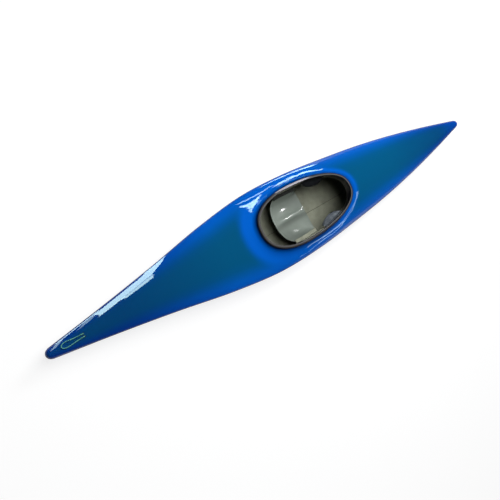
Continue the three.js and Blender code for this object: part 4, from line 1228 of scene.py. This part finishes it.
# A tube on the bow plane that lights up a line of the deck, given as pixels
def add_tube(name, line, width, radiance):
    places = [Vector(mirrored(pixel, BOW_PLANE)) for pixel in line]
    for i, (start, end) in enumerate(zip(places, places[1:])):
        middle = (start + end) / 2
        add_lamp("%s_%d" % (name, i), middle, end - start, -middle, ((end - start).length, width), radiance,
                 DAYLIGHT, only="deck_moulding")


# The bright triangle in upright slices between its upper and lower edge
def add_triangle():
    for i, x in enumerate(np.arange(TRIANGLE_LEFT, TRIANGLE_RIGHT, TRIANGLE_STEP)):
        top, bottom = (np.interp(x, *np.transpose(edge)) for edge in (TRIANGLE_TOP, TRIANGLE_BOTTOM))
        add_streak("triangle_%d" % i, [(x, top, TRIANGLE_STEP), (x, bottom, TRIANGLE_STEP)], 18)


add_floor()
add_world()
add_lamp("overhead", (0.2, 0.7, 5.0), (1, 0, 0), (0, -0.1, -1), (5, 3), 4.0, glossy=False)
add_lamp("key", (3.6, 2.0, 4.0), (0, 1, 0), (-3.6, -2.0, -4.0), (2, 2), 12, glossy=False)
add_lamp("seat_spot", (0.52, 0.16, 0.469), (0, 1, 0), (-0.613, -0.14, -0.409), (0.14, 0.075), 130,
         only="seat_moulding")

# Windows at the port side
add_panel("window", (-0.95, 2.95), (1.02, 3.4), 6.5, 17)
add_panel("window_top", (-0.35, 5.6), (0.62, 1.9), 12, 15)
add_panel("window_corner", (-0.98, 5.0), (0.5, 0.7), 8, 9)
add_panel("window_foot", (-0.82, 0.6), (0.28, 1.3), 0, 15)
add_panel("window_left", (-1.63, 2.1), (0.22, 2.2), 0, 6)
add_panel("window_low", (-1.8, 0.2), (0.6, 1.5), 0, 14)
add_panel("window_end", (-2.03, 2.9), (0.12, 4.0), 0, 7)
add_panel("window_lip", (2.8, 3.9), (1.35, 1.5), 8, 10, color=(0.92, 0.9, 1.0),
          only="cockpit_rim_ring")
add_panel("window_hook", (-0.6, 3.5), (2.2, 4.5), 0, 13, only="thigh_hook_moulding_starboard")

# Pixels of the photograph, read one by one: the edges of the bright triangle, the streaks beside the cockpit on port,
# with their thickness, and the streak on starboard in two parts
TRIANGLE_LEFT, TRIANGLE_RIGHT, TRIANGLE_STEP = 240.5, 260.5, 1.5
TRIANGLE_TOP = [(239.7, 206.4), (248.3, 203.7), (255, 199.2), (260.5, 194.6)]
TRIANGLE_BOTTOM = [
    (239.7, 207.4), (246.7, 207.6), (249.2, 210.5), (250.3, 214.5), (252.5, 208.3), (256.7, 202.9), (260.5, 195.4)]
LINE_INNER = [(238, 203.7, 0.7), (245, 200.9, 1.0), (251.7, 197.5, 1.0), (260, 193.3, 0.9), (271.7, 185.3, 0.5)]
LINE_OUTER = [(262, 186.5, 0.5), (271.7, 181.3, 0.9), (285, 175.3, 0.9), (300, 169.5, 0.9), (314.2, 165, 0.6)]
ARC = [
    (275.3, 186.3, 1.0), (280, 183.4, 1.7), (285, 180.8, 2.1), (291, 177.6, 2.3), (296.7, 175, 2.2),
    (302.5, 173.1, 1.8), (308.3, 171.7, 1.3), (315, 170.5, 0.9), (322, 169.6, 0.5)]
TUBE_FRONT = [(356.6, 191.8), (356.4, 196.7), (355.5, 201), (353.8, 206), (351.6, 211), (348.3, 215.6), (342.6, 221.8)]
TUBE_REAR = [
    (342.6, 221.8), (338.8, 225.4), (334.4, 229), (329.7, 232.4), (325.4, 235.3), (320.6, 238.4), (316.3, 241.1),
    (311.5, 244), (307.6, 247.1)]

add_tube("tube_right", TUBE_FRONT, 0.07, 4)
add_tube("tube_corner", TUBE_REAR, 0.08, 7)
add_triangle()
add_streak("line_inner", LINE_INNER, 14)
add_streak("line_outer", LINE_OUTER, 18)
add_streak("arc", ARC, 16)
